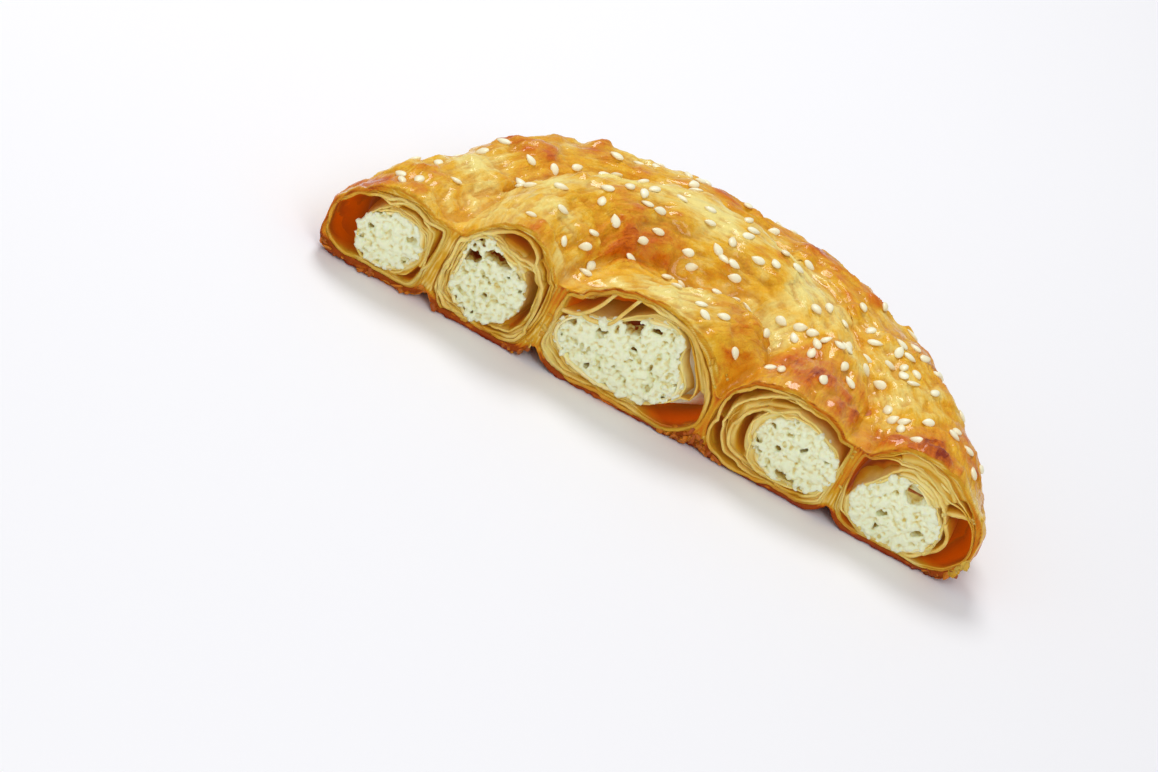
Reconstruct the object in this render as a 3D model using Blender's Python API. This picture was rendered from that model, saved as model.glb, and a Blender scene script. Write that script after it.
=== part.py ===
"""Half of a coiled cheese pastry, cut straight through its middle, lying on its base.

The roll winds from the rim to the centre, so the half holds an outer coil, a middle coil and the
short inner end of the roll. The straight cut shows five ends: two of each coil, and the inner end.
x runs along the cut, y into the pastry and z up. The last step moves the middle of the base to
the origin.
"""

import math
import random

import bmesh
import bpy
from mathutils import Matrix, Vector, noise
from mathutils.bvhtree import BVHTree

MM = 0.001

# The roll's section: round above its widest level and squarer below it, sunk into the base plane
WIDEST_AT = 0.36
DOME_POWER = 2.15
FOOT_POWER = 3.2
BASE_SINK = 1.0 * MM

# The round nose of the inner end
NOSE_REACH = 0.9
NOSE_TURN = 0.47 * math.pi
NOSE_TIP_HEIGHT = 0.45

# The web between the coils, and where it sinks or rises: x, y, size and rise in millimetres
WEB_REACH = (60 * MM, 58 * MM)
WEB_FRONT = 3 * MM
WEB_FOOT = 4.5 * MM
WEB_TOP = 20.3 * MM
WEB_WAVES = ((15, 4, 10, -7), (-13, 14, 13, 4.5))
WEB_TERRACES = (1.0, 0.8, 0.6, 0.4, 0.2)

# How far the pieces run past the cut before it is made
COIL_OVERRUN = 0.045
WEB_OVERRUN = 13 * MM
CUTTER_OVERRUN = 5 * MM
CUTTER_REACH = 120 * MM

# The filling, with the crumbly relief of its broken ends: height, size, and where its rings lie
CLEARANCE = 0.35 * MM
FILLING_NOSE = 5 * MM
FILLING_NOSE_TURNS = (0.5, 1.0, 1.35)
CRUMB_HEIGHT = 0.8 * MM
CRUMB_SIZE = 3.5 * MM
CRUMB_BIAS = 0.4
CRUMB_RINGS = (0.34, 0.72)

# The pockets between the layers, which narrow as they run back from the cut
WALL = 1.6 * MM
POCKET_DEPTH = (8.8 * MM, 4.4 * MM)
POCKET_TAPER = 0.72
POCKET_ROUNDING = 0.6
POCKET_STEPS = 4
INNER_LEAN = 0.45

# Relief of the baked skin: height and size, and for the pleats height, width and length
BULGE = (1.3 * MM, 15 * MM)
LUMP = (0.55 * MM, 6 * MM)
LUMP_SHIFT = Vector((7, 3, 1))
PLEAT = (0.5 * MM, 2.4 * MM, 26 * MM)
PLEAT_LEVEL = 5
RELIEF_FROM = 4 * MM
RELIEF_FULL = 10 * MM

# Sesame seeds, fewer towards the left: length, width and thickness, and the rings of a teardrop
SEED_SIZE = (3.2 * MM, 2.0 * MM, 1.1 * MM)
SEED_RINGS = ((-0.24, 0.62), (0.16, 1.0))
SEED_SIDES = 6
SEED_COUNT = 118
SEED_GAP = 2.9 * MM
SEED_PROUD = 0.16 * MM
SEED_REACH = 76 * MM
SEED_CUT_MARGIN = 4.5 * MM
SEED_LEVEL_ENOUGH = 0.35
SEED_THIN = 0.30
SEED_THIN_FROM = -0.25
SEED_THIN_RATE = 7
SEED_DRAW = 7

# Faces around and along each piece
OUTER_FACES = (26, 42)
MIDDLE_FACES = (24, 27)
INNER_FACES = (24, 5)
NOSE_FACES = 4
WEB_FACES = 24
FILLING_FACES = {"outer": (14, 26), "middle": (14, 18), "inner": (14, 3)}

SKIN_COLOUR = (0.80, 0.44, 0.10, 1.0)
SKIN_ROUGHNESS = 0.35
CHEESE_COLOUR = (0.93, 0.89, 0.70, 1.0)
CHEESE_ROUGHNESS = 0.6

# What each cut end shows. An outline is its left and right edge and its height in millimetres.
# A lobe is the direction and spread in degrees of a swelling in the filling, and its share.
# A pocket is its direction and half spread in degrees, and where it lies between filling and wall.
ENDS = {
    "outer_left": {
        "outline": (-80.6, -54.0, 22.0), "lobe": (60, 25, 0.12),
        "pockets": ((180, 62, 0.06, 1.0), (-32, 20, 0.40, 0.72), (22, 30, 0.58, 0.78), (72, 26, 0.34, 0.56)),
    },
    "middle_left": {
        "outline": (-52.8, -27.8, 28.0), "lobe": (122, 24, 0.55),
        "pockets": ((96, 22, 0.40, 0.88), (6, 46, 0.10, 0.36), (20, 40, 0.62, 0.76), (-62, 22, 0.34, 0.66)),
    },
    "inner": {
        "outline": (-26.4, 14.0, 28.0), "lobe": (74, 20, 0.80),
        "pockets": (
            (112, 13, 0.14, 0.90), (137, 12, 0.22, 0.92), (160, 13, 0.34, 0.94),
            (-20, 24, 0.16, 0.94), (36, 22, 0.30, 0.52),
        ),
    },
    "middle_right": {
        "outline": (15.6, 47.0, 24.6), "lobe": (100, 30, 0.10),
        "pockets": (
            (52, 44, 0.34, 0.95), (152, 30, 0.72, 0.97), (116, 24, 0.44, 0.70),
            (205, 22, 0.66, 0.92), (178, 34, 0.24, 0.42), (-75, 26, 0.20, 0.55),
        ),
    },
    "outer_right": {
        "outline": (48.6, 80.6, 26.0), "lobe": (92, 26, 0.34),
        "pockets": ((148, 36, 0.14, 0.96), (2, 44, 0.14, 0.98), (218, 16, 0.42, 0.88)),
    },
}


def blend(a, b, share):
    return a + (b - a) * share


def rounded(value, power):
    """A cosine or a sine bent towards the outline of a rounded box."""
    return math.copysign(abs(value) ** (2 / power), value)


def mean(points):
    return sum(points, Vector()) / len(points)


def lobe(end, angle):
    """How much the filling swells towards this direction of the cut, as a share."""
    direction, spread, amount = ENDS[end]["lobe"]
    turn = math.remainder(angle - math.radians(direction), math.tau)
    return amount * math.exp(-((turn / math.radians(spread)) ** 2))


class Coil:
    """One turn of the roll, from its left end on the cut at 0 to its right end on the cut at 1.

    A station holds x, y, the half width and the height, in millimetres. The filling holds, for the
    left end, the back and the right end, its shift outwards, its level, half width and half height.
    """

    def __init__(self, name, stations, filling):
        self.name = name
        self.stations = [Vector(station) * MM for station in stations]
        self.filling = filling
        turns = zip(self.stations, self.stations[1:])
        self.length = sum((b.xy - a.xy).length for a, b in turns)

    def pick(self, index):
        """A station by its number. Past either end it is mirrored in the cut."""
        last = len(self.stations) - 1
        within = abs(index) if index <= last else 2 * last - index
        x, y, half_width, height = self.stations[within]
        return Vector((x, y if within == index else -y, half_width, height))

    def at(self, share):
        """The smooth curve through the stations."""
        along = share * (len(self.stations) - 1)
        index = math.floor(along)
        t = along - index
        a, b, c, d = (self.pick(index + step) for step in (-1, 0, 1, 2))
        return b + ((c - a) + ((a * 2 - b * 5 + c * 4 - d) + (b * 3 - a - c * 3 + d) * t) * t) * (t / 2)

    def place(self, share):
        """The point of the centre line, and the direction away from the coil's middle."""
        step = 0.001
        run = (self.at(share + step) - self.at(share - step)).xy.normalized()
        return self.at(share).xy.to_3d(), Vector((-run.y, run.x, 0))

    def size(self, share):
        return self.at(share).zw

    def filling_size(self, share):
        weights = ((1 - share) * (1 - 2 * share), 4 * share * (1 - share), share * (2 * share - 1))
        return [sum(w * value for w, value in zip(weights, values)) * MM for values in zip(*self.filling)]

    def swell(self, share, angle):
        """The lobes of both ends, each turned to the section's own direction."""
        left = lobe(self.name + "_left", math.pi - angle)
        right = lobe(self.name + "_right", angle)
        return 1 + blend(left, right, min(1, max(0, share)))


class InnerEnd:
    """The short inner end of the roll: it leaves the cut at a slant and ends in a round nose."""

    name = "inner"

    def __init__(self, start, stop, half_width, height, filling):
        self.start, self.stop = Vector(start).to_3d(), Vector(stop).to_3d()
        self.run = self.stop - self.start
        self.length = self.run.length
        self.half_width, self.height = half_width, height
        self.filling = filling

    def place(self, share):
        outward = Vector((-self.run.y, self.run.x, 0)).normalized()
        return self.start + self.run * share, outward

    def size(self, share):
        return self.half_width, self.height

    def filling_size(self, share):
        return [value * MM for value in self.filling]

    def swell(self, share, angle):
        return 1 + lobe("inner", math.pi - angle)

    def onto_cut(self, point, level):
        """The point moved along the run until its y is this level."""
        return point - self.run * ((point.y - level) / self.run.y)


OUTER = Coil(
    "outer",
    stations=(
        (-67.0, 0, 13.9, 22.5), (-61.5, 17, 13.6, 22.3), (-51, 36.5, 13.6, 23.4), (-36, 56.5, 14.4, 24.8),
        (-13, 65, 15.4, 26.0), (12, 62.5, 15.8, 26.5), (34, 51.5, 16.2, 27.0), (50.5, 33.5, 16.0, 27.2),
        (61, 15, 15.8, 26.6), (64.0, 0, 16.6, 26.2),
    ),
    filling=((-0.7, 9.8, 6.8, 6.2), (1.2, 9.4, 7.2, 6.2), (-2.4, 8.9, 10.0, 7.0)),
)
MIDDLE = Coil(
    "middle",
    stations=(
        (-40.3, 0, 13.8, 28.8), (-36.5, 18, 15.4, 29.6), (-27.5, 33, 17.0, 31.0), (-13, 43, 17.6, 32.0),
        (5, 45, 17.6, 31.6), (19.5, 41, 16.8, 30.0), (29, 31, 15.4, 28.2), (33, 16, 14.8, 26.4),
        (31.3, 0, 16.6, 25.6),
    ),
    filling=((1.5, 10.8, 7.8, 7.8), (-2.0, 10.8, 7.0, 7.2), (4.5, 10.8, 9.5, 7.3)),
)
INNER = InnerEnd(
    start=(-17.1 * MM, -10.5 * MM), stop=(8.6 * MM, 15.0 * MM), half_width=14.6 * MM, height=28.6 * MM,
    filling=(1.9, 10.8, 10.4, 7.4),
)
COIL_OF_END = {
    "outer_left": (OUTER, 0), "outer_right": (OUTER, 1),
    "middle_left": (MIDDLE, 0), "middle_right": (MIDDLE, 1), "inner": (INNER, 0),
}


def material(name, colour, roughness):
    made = bpy.data.materials.new(name)
    made.use_nodes = True
    shader = made.node_tree.nodes["Principled BSDF"]
    shader.inputs["Base Color"].default_value = colour
    shader.inputs["Roughness"].default_value = roughness
    return made


def add_object(name, mesh, finish=None):
    """Turns a closed bmesh into a named object of the scene, faces pointing out."""
    bmesh.ops.recalc_face_normals(mesh, faces=mesh.faces)
    data = bpy.data.meshes.new(name)
    mesh.to_mesh(data)
    mesh.free()
    made = bpy.data.objects.new(name, data)
    if finish:
        made.data.materials.append(finish)
    bpy.context.scene.collection.objects.link(made)
    return made


def loft(name, rings, tips=None, finish=None):
    """A closed object through rings of equal count, with a fan to a tip at each end.

    Without tips, each end is a strip between the first half of its ring and the second.
    """
    mesh = bmesh.new()
    rows = [[mesh.verts.new(point) for point in ring] for ring in rings]
    count = len(rows[0])
    for row, after in zip(rows, rows[1:]):
        for i in range(count):
            j = (i + 1) % count
            mesh.faces.new((row[i], row[j], after[j], after[i]))
    if tips is None:
        for row in (rows[0], rows[-1]):
            for i in range(count // 2 - 1):
                mesh.faces.new((row[i], row[i + 1], row[-2 - i], row[-1 - i]))
    for row, tip_point in zip((rows[0], rows[-1]), tips or ()):
        tip = mesh.verts.new(tip_point)
        for i in range(count):
            mesh.faces.new((row[i], row[(i + 1) % count], tip))
    return add_object(name, mesh, finish)


def block(name, low, high):
    """A plain box between two corners, to cut with."""
    mesh = bmesh.new()
    size = Vector(high) - Vector(low)
    middle = (Vector(high) + Vector(low)) / 2
    bmesh.ops.create_cube(mesh, size=1, matrix=Matrix.Translation(middle) @ Matrix.Diagonal((*size, 1)))
    return add_object(name, mesh)


def combine(target, others, operation):
    """Applies one exact Boolean of the target with all the others, which are then removed."""
    group = bpy.data.collections.new("group")
    for other in others:
        bpy.context.scene.collection.objects.unlink(other)
        group.objects.link(other)
    bpy.context.scene.collection.children.link(group)
    modifier = target.modifiers.new("combine", "BOOLEAN")
    modifier.operation = operation
    modifier.solver = "EXACT"
    modifier.operand_type = "COLLECTION"
    modifier.collection = group
    with bpy.context.temp_override(object=target):
        bpy.ops.object.modifier_apply(modifier=modifier.name)
    for other in others:
        bpy.data.objects.remove(other)
    bpy.data.collections.remove(group)


def skin_relief(point, along, across):
    """How far the baked skin stands proud at a point: bulges, lumps, and pleats along the roll."""
    bulge_height, bulge_size = BULGE
    lump_height, lump_size = LUMP
    pleat_height, pleat_width, pleat_length = PLEAT
    bulge = bulge_height * noise.noise(point / bulge_size)
    lump = lump_height * noise.noise(point / lump_size + LUMP_SHIFT)
    pleat = pleat_height * noise.noise(Vector((across / pleat_width, along / pleat_length, PLEAT_LEVEL)))
    return bulge + lump + pleat


def roll_ring(coil, share, count, width_share=1.0, height_share=1.0):
    """One ring of the roll's skin, wide at its foot and domed above, with its relief."""
    middle, outward = coil.place(share)
    half_width, height = coil.size(share)
    half_width *= width_share
    height *= height_share
    belt = middle + Vector((0, 0, WIDEST_AT * height))
    ring = []
    for i in range(count):
        angle = math.tau * i / count
        upper = math.sin(angle) > 0
        power = DOME_POWER if upper else FOOT_POWER
        rise = height - belt.z if upper else belt.z + BASE_SINK
        aside = outward * half_width * rounded(math.cos(angle), power)
        way = aside + Vector((0, 0, rise * rounded(math.sin(angle), power)))
        point = belt + way
        above = min(1, max(0, (point.z - RELIEF_FROM) / (RELIEF_FULL - RELIEF_FROM)))
        proud = skin_relief(point, share * coil.length, half_width * math.cos(angle))
        ring.append(point + way.normalized() * proud * above)
    return ring


def make_coil(coil, faces, finish=None):
    around, along = faces
    shares = [blend(-COIL_OVERRUN, 1 + COIL_OVERRUN, i / along) for i in range(along + 1)]
    rings = [roll_ring(coil, share, around) for share in shares]
    return loft(coil.name, rings, (mean(rings[0]), mean(rings[-1])), finish)


def make_inner_end():
    """The inner end of the roll, with its round nose."""
    around, along = INNER_FACES
    rings = [roll_ring(INNER, i / along, around) for i in range(along + 1)]
    for i in range(1, NOSE_FACES + 1):
        turn = NOSE_TURN * i / NOSE_FACES
        share = 1 + NOSE_REACH * INNER.half_width * math.sin(turn) / INNER.length
        height_share = blend(NOSE_TIP_HEIGHT, 1, math.cos(turn))
        rings.append(roll_ring(INNER, share, around, math.cos(turn), height_share))
    return loft("inner", rings, (mean(rings[0]), mean(rings[-1])))


def web_top(x, y):
    top = WEB_TOP
    for wave in WEB_WAVES:
        wave_x, wave_y, size, rise = (value * MM for value in wave)
        top += rise * math.exp(-((x - wave_x) ** 2 + (y - wave_y) ** 2) / size ** 2)
    return top


def make_web():
    """What fills the low space between the coils, deepest beside the inner end."""
    x_reach, y_reach = WEB_REACH
    turns = [math.pi * i / WEB_FACES for i in range(WEB_FACES + 1)]
    outline = [Vector((x_reach * math.cos(turn), y_reach * math.sin(turn) - WEB_FRONT, 0)) for turn in turns]
    outline += [Vector((-x_reach, -WEB_OVERRUN, 0)), Vector((x_reach, -WEB_OVERRUN, 0))]
    rings = [[point + Vector((0, 0, WEB_FOOT)) for point in outline]]
    for reach in WEB_TERRACES:
        spots = [point.xy * reach for point in outline]
        rings.append([Vector((x, y, web_top(x, y))) for x, y in spots])
    return loft("web", rings, (Vector((0, 0, WEB_FOOT)), Vector((0, 0, web_top(0, 0)))))


def filling_ring(coil, share, grow=0.0, shrink=1.0):
    """One ring of the filling. It is grown by a distance where it cuts its own channel."""
    middle, outward = coil.place(share)
    shift, level, half_width, half_height = coil.filling_size(share)
    centre = middle + outward * shift + Vector((0, 0, level))
    count = FILLING_FACES[coil.name][0]
    ring = []
    for i in range(count):
        angle = math.tau * i / count
        swell = coil.swell(share, angle) * shrink
        aside = (half_width * swell + grow) * math.cos(angle)
        up = (half_height * swell + grow) * math.sin(angle)
        ring.append(centre + outward * aside + Vector((0, 0, up)))
    return ring


def filling_rings(coil, grow=0.0, before_cut=0.0):
    """Rings from one cut end to the other, or from the cut into the inner end's nose."""
    along = FILLING_FACES[coil.name][1]
    if coil is not INNER:
        shares = [i / along for i in range(along + 1)]
        if before_cut:
            extra = before_cut / coil.length
            shares = [-extra] + shares + [1 + extra]
        return [filling_ring(coil, share, grow) for share in shares]
    last = filling_ring(INNER, 1, grow)
    first = [INNER.onto_cut(point, -before_cut) for point in last]
    rings = [[a.lerp(b, i / along) for a, b in zip(first, last)] for i in range(along + 1)]
    nose = (FILLING_NOSE + grow) / INNER.length
    for turn in FILLING_NOSE_TURNS:
        rings.append(filling_ring(INNER, 1 + nose * math.sin(turn), grow * math.cos(turn), math.cos(turn)))
    return rings


def broken_end(ring):
    """The rings within a cut end of the filling, pushed in by the relief of broken cheese."""
    centre = mean(ring)
    rows = []
    for share in CRUMB_RINGS:
        row = [centre.lerp(point, share) for point in ring]
        for point in row:
            point.y += max(0, CRUMB_BIAS + noise.noise(point / CRUMB_SIZE)) * CRUMB_HEIGHT
        rows.append(row)
    return rows


def make_filling(coil, finish):
    rings = filling_rings(coil)
    tips = (mean(rings[0]), mean(rings[-1]))
    before = broken_end(rings[0])
    after = broken_end(rings[-1])[::-1] if coil is not INNER else []
    return loft("cheese_" + coil.name, before + rings + after, tips, finish)


def make_channel(coil):
    """The cutter that leaves room for the filling."""
    rings = filling_rings(coil, CLEARANCE, CUTTER_OVERRUN)
    return loft("channel_" + coil.name, rings, (mean(rings[0]), mean(rings[-1])))


def between(end, angle, share):
    """The point of the cut at this direction, from the filling's edge at 0 to the wall at 1."""
    coil, coil_share = COIL_OF_END[end]
    middle, outward = coil.place(coil_share)
    shift, level, half_width, half_height = coil.filling_size(coil_share)
    centre = middle + outward * shift
    stretch = 1.0
    if coil is INNER:
        centre = INNER.onto_cut(centre, 0)
        stretch = INNER.length / INNER.run.y
    swell = 1 + lobe(end, angle)
    edge_x = centre.x + half_width * stretch * swell * math.cos(angle)
    edge_z = level + half_height * swell * math.sin(angle)
    low_x, high_x, height = (value * MM for value in ENDS[end]["outline"])
    belt = WIDEST_AT * height
    rise = height - WALL - belt if math.sin(angle) > 0 else belt - WALL
    wall_x = (low_x + high_x) / 2 + ((high_x - low_x) / 2 - WALL) * rounded(math.cos(angle), DOME_POWER)
    wall_z = belt + rise * rounded(math.sin(angle), DOME_POWER)
    return blend(edge_x, wall_x, share), blend(edge_z, wall_z, share)


def make_pocket(end, direction, spread, low, high):
    """A crescent between two of the roll's layers, narrowing as it runs back from the cut."""
    inner, outer = [], []
    middle, half = (low + high) / 2, (high - low) / 2
    for i in range(POCKET_STEPS + 1):
        turn = blend(-1, 1, (i + 0.5) / (POCKET_STEPS + 1))
        angle = math.radians(direction + spread * turn)
        width = half * math.cos(math.pi / 2 * turn) ** POCKET_ROUNDING
        inner.append(between(end, angle, middle - width))
        outer.append(between(end, angle, middle + width))
    outline = inner + outer[::-1]
    centre_x = sum(x for x, _ in outline) / len(outline)
    centre_z = sum(z for _, z in outline) / len(outline)
    least, more = POCKET_DEPTH
    depth = least + more * (high - low)
    lean = INNER_LEAN if end == "inner" else 0
    rings = []
    for level in (-CUTTER_OVERRUN, depth):
        taper = blend(1, POCKET_TAPER, level / depth)
        spots = [(blend(centre_x, x, taper) + lean * level, blend(centre_z, z, taper)) for x, z in outline]
        rings.append([Vector((x, level, z)) for x, z in spots])
    return loft("pocket", rings)


def make_seed(place, outward, heading):
    """A teardrop seed lying on the skin."""
    length, width, height = SEED_SIZE
    side = outward.cross(heading).normalized()
    ahead = side.cross(outward).normalized()
    rings = []
    for along, broad in SEED_RINGS:
        ring = []
        for i in range(SEED_SIDES):
            angle = math.tau * i / SEED_SIDES
            aside = side * math.cos(angle) * width / 2 * broad
            up = outward * math.sin(angle) * height / 2 * broad
            ring.append(place + ahead * along * length + aside + up)
        rings.append(ring)
    return loft("seed", rings, (place - ahead * length / 2, place + ahead * length / 2))


def seed_places(skin):
    """Where the seeds lie: drawn over the top, thinner on the left, apart from each other."""
    draw = random.Random(SEED_DRAW)
    tree = BVHTree.FromObject(skin, bpy.context.evaluated_depsgraph_get())
    found = []
    while len(found) < SEED_COUNT:
        x, y, turn = draw.uniform(-1, 1), draw.uniform(0, 1), draw.uniform(0, math.tau)
        keep = draw.random()
        density = blend(SEED_THIN, 1, 1 / (1 + math.exp((SEED_THIN_FROM - x) * SEED_THIN_RATE)))
        if x * x + y * y > 1 or keep > density:
            continue
        above = Vector((x * SEED_REACH, SEED_CUT_MARGIN + y * SEED_REACH, SEED_REACH))
        hit, normal, _, _ = tree.ray_cast(above, Vector((0, 0, -1)))
        if hit is None or normal.z < SEED_LEVEL_ENOUGH:
            continue
        if any((hit - other).length < SEED_GAP for other, _, _ in found):
            continue
        found.append((hit, normal, Vector((math.cos(turn), math.sin(turn), 0))))
    return found


def make_pastry(finish):
    pastry = make_coil(OUTER, OUTER_FACES, finish)
    pastry.name = "pastry"
    combine(pastry, [make_coil(MIDDLE, MIDDLE_FACES), make_inner_end(), make_web()], "UNION")
    seeds = [make_seed(hit + normal * SEED_PROUD, normal, way) for hit, normal, way in seed_places(pastry)]
    combine(pastry, seeds, "UNION")
    far = CUTTER_REACH
    cutters = [
        block("before_cut", (-far, -far, -far), (far, 0, far)),
        block("below_base", (-far, -far / 2, -far), (far, far, 0)),
    ]
    cutters += [make_channel(coil) for coil in (OUTER, MIDDLE, INNER)]
    for end, facts in ENDS.items():
        cutters += [make_pocket(end, *pocket) for pocket in facts["pockets"]]
    combine(pastry, cutters, "DIFFERENCE")
    return pastry


def centre_on_base(pieces):
    """Moves the meshes so that the middle of the base is the origin."""
    corners = [vertex.co for piece in pieces for vertex in piece.data.vertices]
    low = Vector([min(corner[axis] for corner in corners) for axis in range(3)])
    high = Vector([max(corner[axis] for corner in corners) for axis in range(3)])
    shift = Vector((-(low.x + high.x) / 2, -(low.y + high.y) / 2, -low.z))
    for piece in pieces:
        piece.data.transform(Matrix.Translation(shift))


def main():
    for old in list(bpy.data.objects):
        bpy.data.objects.remove(old)
    pieces = [make_pastry(material("baked_pastry", SKIN_COLOUR, SKIN_ROUGHNESS))]
    cheese = material("white_cheese", CHEESE_COLOUR, CHEESE_ROUGHNESS)
    pieces += [make_filling(coil, cheese) for coil in (OUTER, MIDDLE, INNER)]
    centre_on_base(pieces)


main()
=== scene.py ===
"""The looks of the cut half of a coiled cheese pastry: baked skin, thin layers, cheese and sesame.

Shapes are drawn with the cut along x and y into the pastry, and moved onto the CAD model at the end.
"""

import math
import random

import bpy
import numpy as np
from bpy.props import FloatProperty, FloatVectorProperty, IntProperty, PointerProperty
from mathutils import Matrix, Vector, noise
from mathutils.bvhtree import BVHTree


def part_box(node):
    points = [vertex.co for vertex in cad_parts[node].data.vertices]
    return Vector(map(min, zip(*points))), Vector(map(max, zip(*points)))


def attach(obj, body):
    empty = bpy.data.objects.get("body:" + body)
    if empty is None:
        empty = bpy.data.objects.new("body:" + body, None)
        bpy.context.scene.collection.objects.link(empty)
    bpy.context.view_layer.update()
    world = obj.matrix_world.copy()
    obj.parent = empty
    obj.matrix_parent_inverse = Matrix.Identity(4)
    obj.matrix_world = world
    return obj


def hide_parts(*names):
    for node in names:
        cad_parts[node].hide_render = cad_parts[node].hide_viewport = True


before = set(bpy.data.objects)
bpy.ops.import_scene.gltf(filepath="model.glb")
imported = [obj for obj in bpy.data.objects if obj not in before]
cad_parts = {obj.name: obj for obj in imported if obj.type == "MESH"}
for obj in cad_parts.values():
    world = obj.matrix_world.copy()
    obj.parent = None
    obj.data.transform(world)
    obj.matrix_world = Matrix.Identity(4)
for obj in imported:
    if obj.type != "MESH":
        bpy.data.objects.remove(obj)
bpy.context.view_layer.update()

bl_info = {
    "name": "Coiled cheese pastry",
    "version": (1, 0, 0),
    "blender": (4, 5, 0),
    "location": "3D View > Sidebar > Pastry",
    "description": "Half of a coiled cheese pastry with sesame, cut through its middle",
    "category": "Add Mesh",
}

MM = 0.001

# From the drawing's origin, which lies on the cut, to the frame's
ORIGIN = Vector((0.059 * MM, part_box("pastry")[0].y, 0))

# The roll's section: round above its widest level and squarer below it, sunk into the base plane
WIDEST_AT = 0.36
DOME_POWER = 2.15
FOOT_POWER = 3.2
BASE_SINK = 1.0 * MM

# The round nose of the inner end
NOSE_REACH = 0.9
NOSE_TURN = 0.47 * math.pi
NOSE_TIP_HEIGHT = 0.45
NOSE_RINGS = 24

# The web between the coils, and where it sinks or rises: x, y, size and rise in millimetres
WEB_REACH = (60 * MM, 58 * MM)
WEB_SET_IN = 3 * MM
WEB_BEFORE = -13 * MM
WEB_FOOT = 4.5 * MM
WEB_TOP = 20.3 * MM
WEB_WAVES = ((15, 4, 10, -7), (-13, 14, 13, 4.5))
WEB_CELLS = (80, 50)

# Relief of the baked skin: height, size and the noise's own shift, and for the pleats height, width,
# length and shift
BULGE = (1.3 * MM, 15 * MM, 0)
LUMP = (0.55 * MM, 6 * MM, np.array((7, 3, 1)))
PLEAT = (0.5 * MM, 2.4 * MM, 26 * MM, 5.0)
RELIEF_FROM = 4 * MM
RELIEF_FULL = 10 * MM

# What each cut end shows, in millimetres and degrees. The outline is the roll's edge on the cut.
# A lobe is the direction and spread of a swelling in the filling, and its share.
# A pocket is its direction and half spread, and where it lies between filling and wall.
# A curtain is a sheet that hangs across a hollow, by the points of its edge.
ENDS = {
    "outer_left": {
        "outline": (
            (-81.3, 9.5), (-80.2, 15), (-78.5, 17.6), (-75.5, 19.7), (-72, 21), (-67, 22), (-60, 22.6),
            (-56, 21.8), (-53.9, 19), (-54.3, 10), (-54.8, 5), (-56.5, 1.2), (-65, 0.4), (-75, 1.2),
            (-79, 3.0), (-80.7, 6),
        ),
        "lobe": (60, 25, 0.12),
        "pockets": (
            (176, 66, 0.05, 0.97), (-32, 20, 0.40, 0.72), (22, 30, 0.55, 0.80), (72, 26, 0.34, 0.56),
        ),
        "curtains": (),
    },
    "middle_left": {
        "outline": (
            (-53.2, 20), (-50, 25.5), (-45, 28), (-40, 28.7), (-33, 27.5), (-28.7, 24), (-27.5, 18),
            (-27.5, 10), (-28.2, 5), (-30.5, 1.0), (-38, 0), (-47, 0.2), (-52.3, 1.6), (-53.7, 6),
            (-53.7, 13),
        ),
        "lobe": (122, 24, 0.55),
        "pockets": ((84, 26, 0.42, 0.90), (4, 50, 0.10, 0.52), (20, 40, 0.66, 0.80), (-62, 22, 0.34, 0.66)),
        "curtains": (),
    },
    "inner": {
        "outline": (
            (-26.4, 19), (-25, 24.6), (-20, 27.4), (-12, 28.5), (-5, 28.5), (0, 27.5), (5, 25), (10, 20.5),
            (13.8, 15), (14.6, 10), (14, 5.5), (10, 1.6), (5, 0), (-10, 0), (-20, 0), (-25, 1),
            (-26.6, 4.5), (-26.8, 12),
        ),
        "lobe": (74, 20, 0.80),
        "pockets": ((128, 50, 0.10, 0.93), (-20, 26, 0.14, 0.94), (30, 34, 0.22, 0.56)),
        "curtains": (
            ((-25.4, 22), (-23, 25.4), (-20, 27), (-16, 27.3)),
            ((-25.8, 15.2), (-22.5, 15.6), (-20, 17.4), (-17.6, 21), (-15.2, 27.6)),
            ((-21, 16.6), (-18.1, 16.4), (-14.3, 17.6), (-12.6, 21.4), (-10.8, 26), (-9.6, 28)),
        ),
    },
    "middle_right": {
        "outline": (
            (15.3, 14), (16.2, 18.6), (19, 21.5), (25, 24), (32, 25.4), (40, 25.3), (45, 23.6), (47, 19.5),
            (46.8, 12), (46.6, 5), (44.8, 0.6), (33, 0), (25, 0), (20, 1), (17, 2.6), (15.2, 6), (15, 10),
        ),
        "lobe": (100, 30, 0.10),
        "pockets": (
            (60, 50, 0.16, 0.95), (152, 30, 0.70, 0.97), (116, 24, 0.44, 0.68),
            (205, 22, 0.64, 0.92), (178, 34, 0.24, 0.44), (-75, 26, 0.20, 0.55),
        ),
        "curtains": (),
    },
    "outer_right": {
        "outline": (
            (47.9, 17), (49, 22), (52, 24.5), (56, 26), (62, 26.5), (67, 25.8), (70, 25), (75, 22),
            (78, 18.5), (80, 15), (80.9, 9), (79.6, 5.6), (77.5, 2.6), (73, 0.6), (66, 0), (58, 0),
            (51, 0.3), (48.4, 2.8), (47.6, 8),
        ),
        "lobe": (92, 26, 0.34),
        "pockets": ((146, 38, 0.12, 0.95), (0, 44, 0.14, 0.97), (218, 16, 0.42, 0.88)),
        "curtains": (
            ((70.6, 15.2), (73, 16.4), (75.6, 17.0), (78.4, 17.4)),
            ((71.0, 4.4), (73.4, 6.4), (74.3, 9.6), (72.4, 13.2)),
        ),
    },
}


def blend(a, b, share):
    return a + (b - a) * share


def smooth_step(value, low, high):
    """0 below low, 1 above high and smooth between, for a number or an array."""
    share = np.clip((value - low) / (high - low), 0, 1)
    return share * share * (3 - 2 * share)


def fading(value, low, high):
    """1 below low, 0 above high and smooth between."""
    return smooth_step(-value, -high, -low)


def risen(value, amount, low, high):
    """An amount that comes in between two limits."""
    return amount * smooth_step(value, low, high)


def fallen(value, amount, low, high):
    """An amount that goes out between two limits."""
    return amount * fading(value, low, high)


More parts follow.
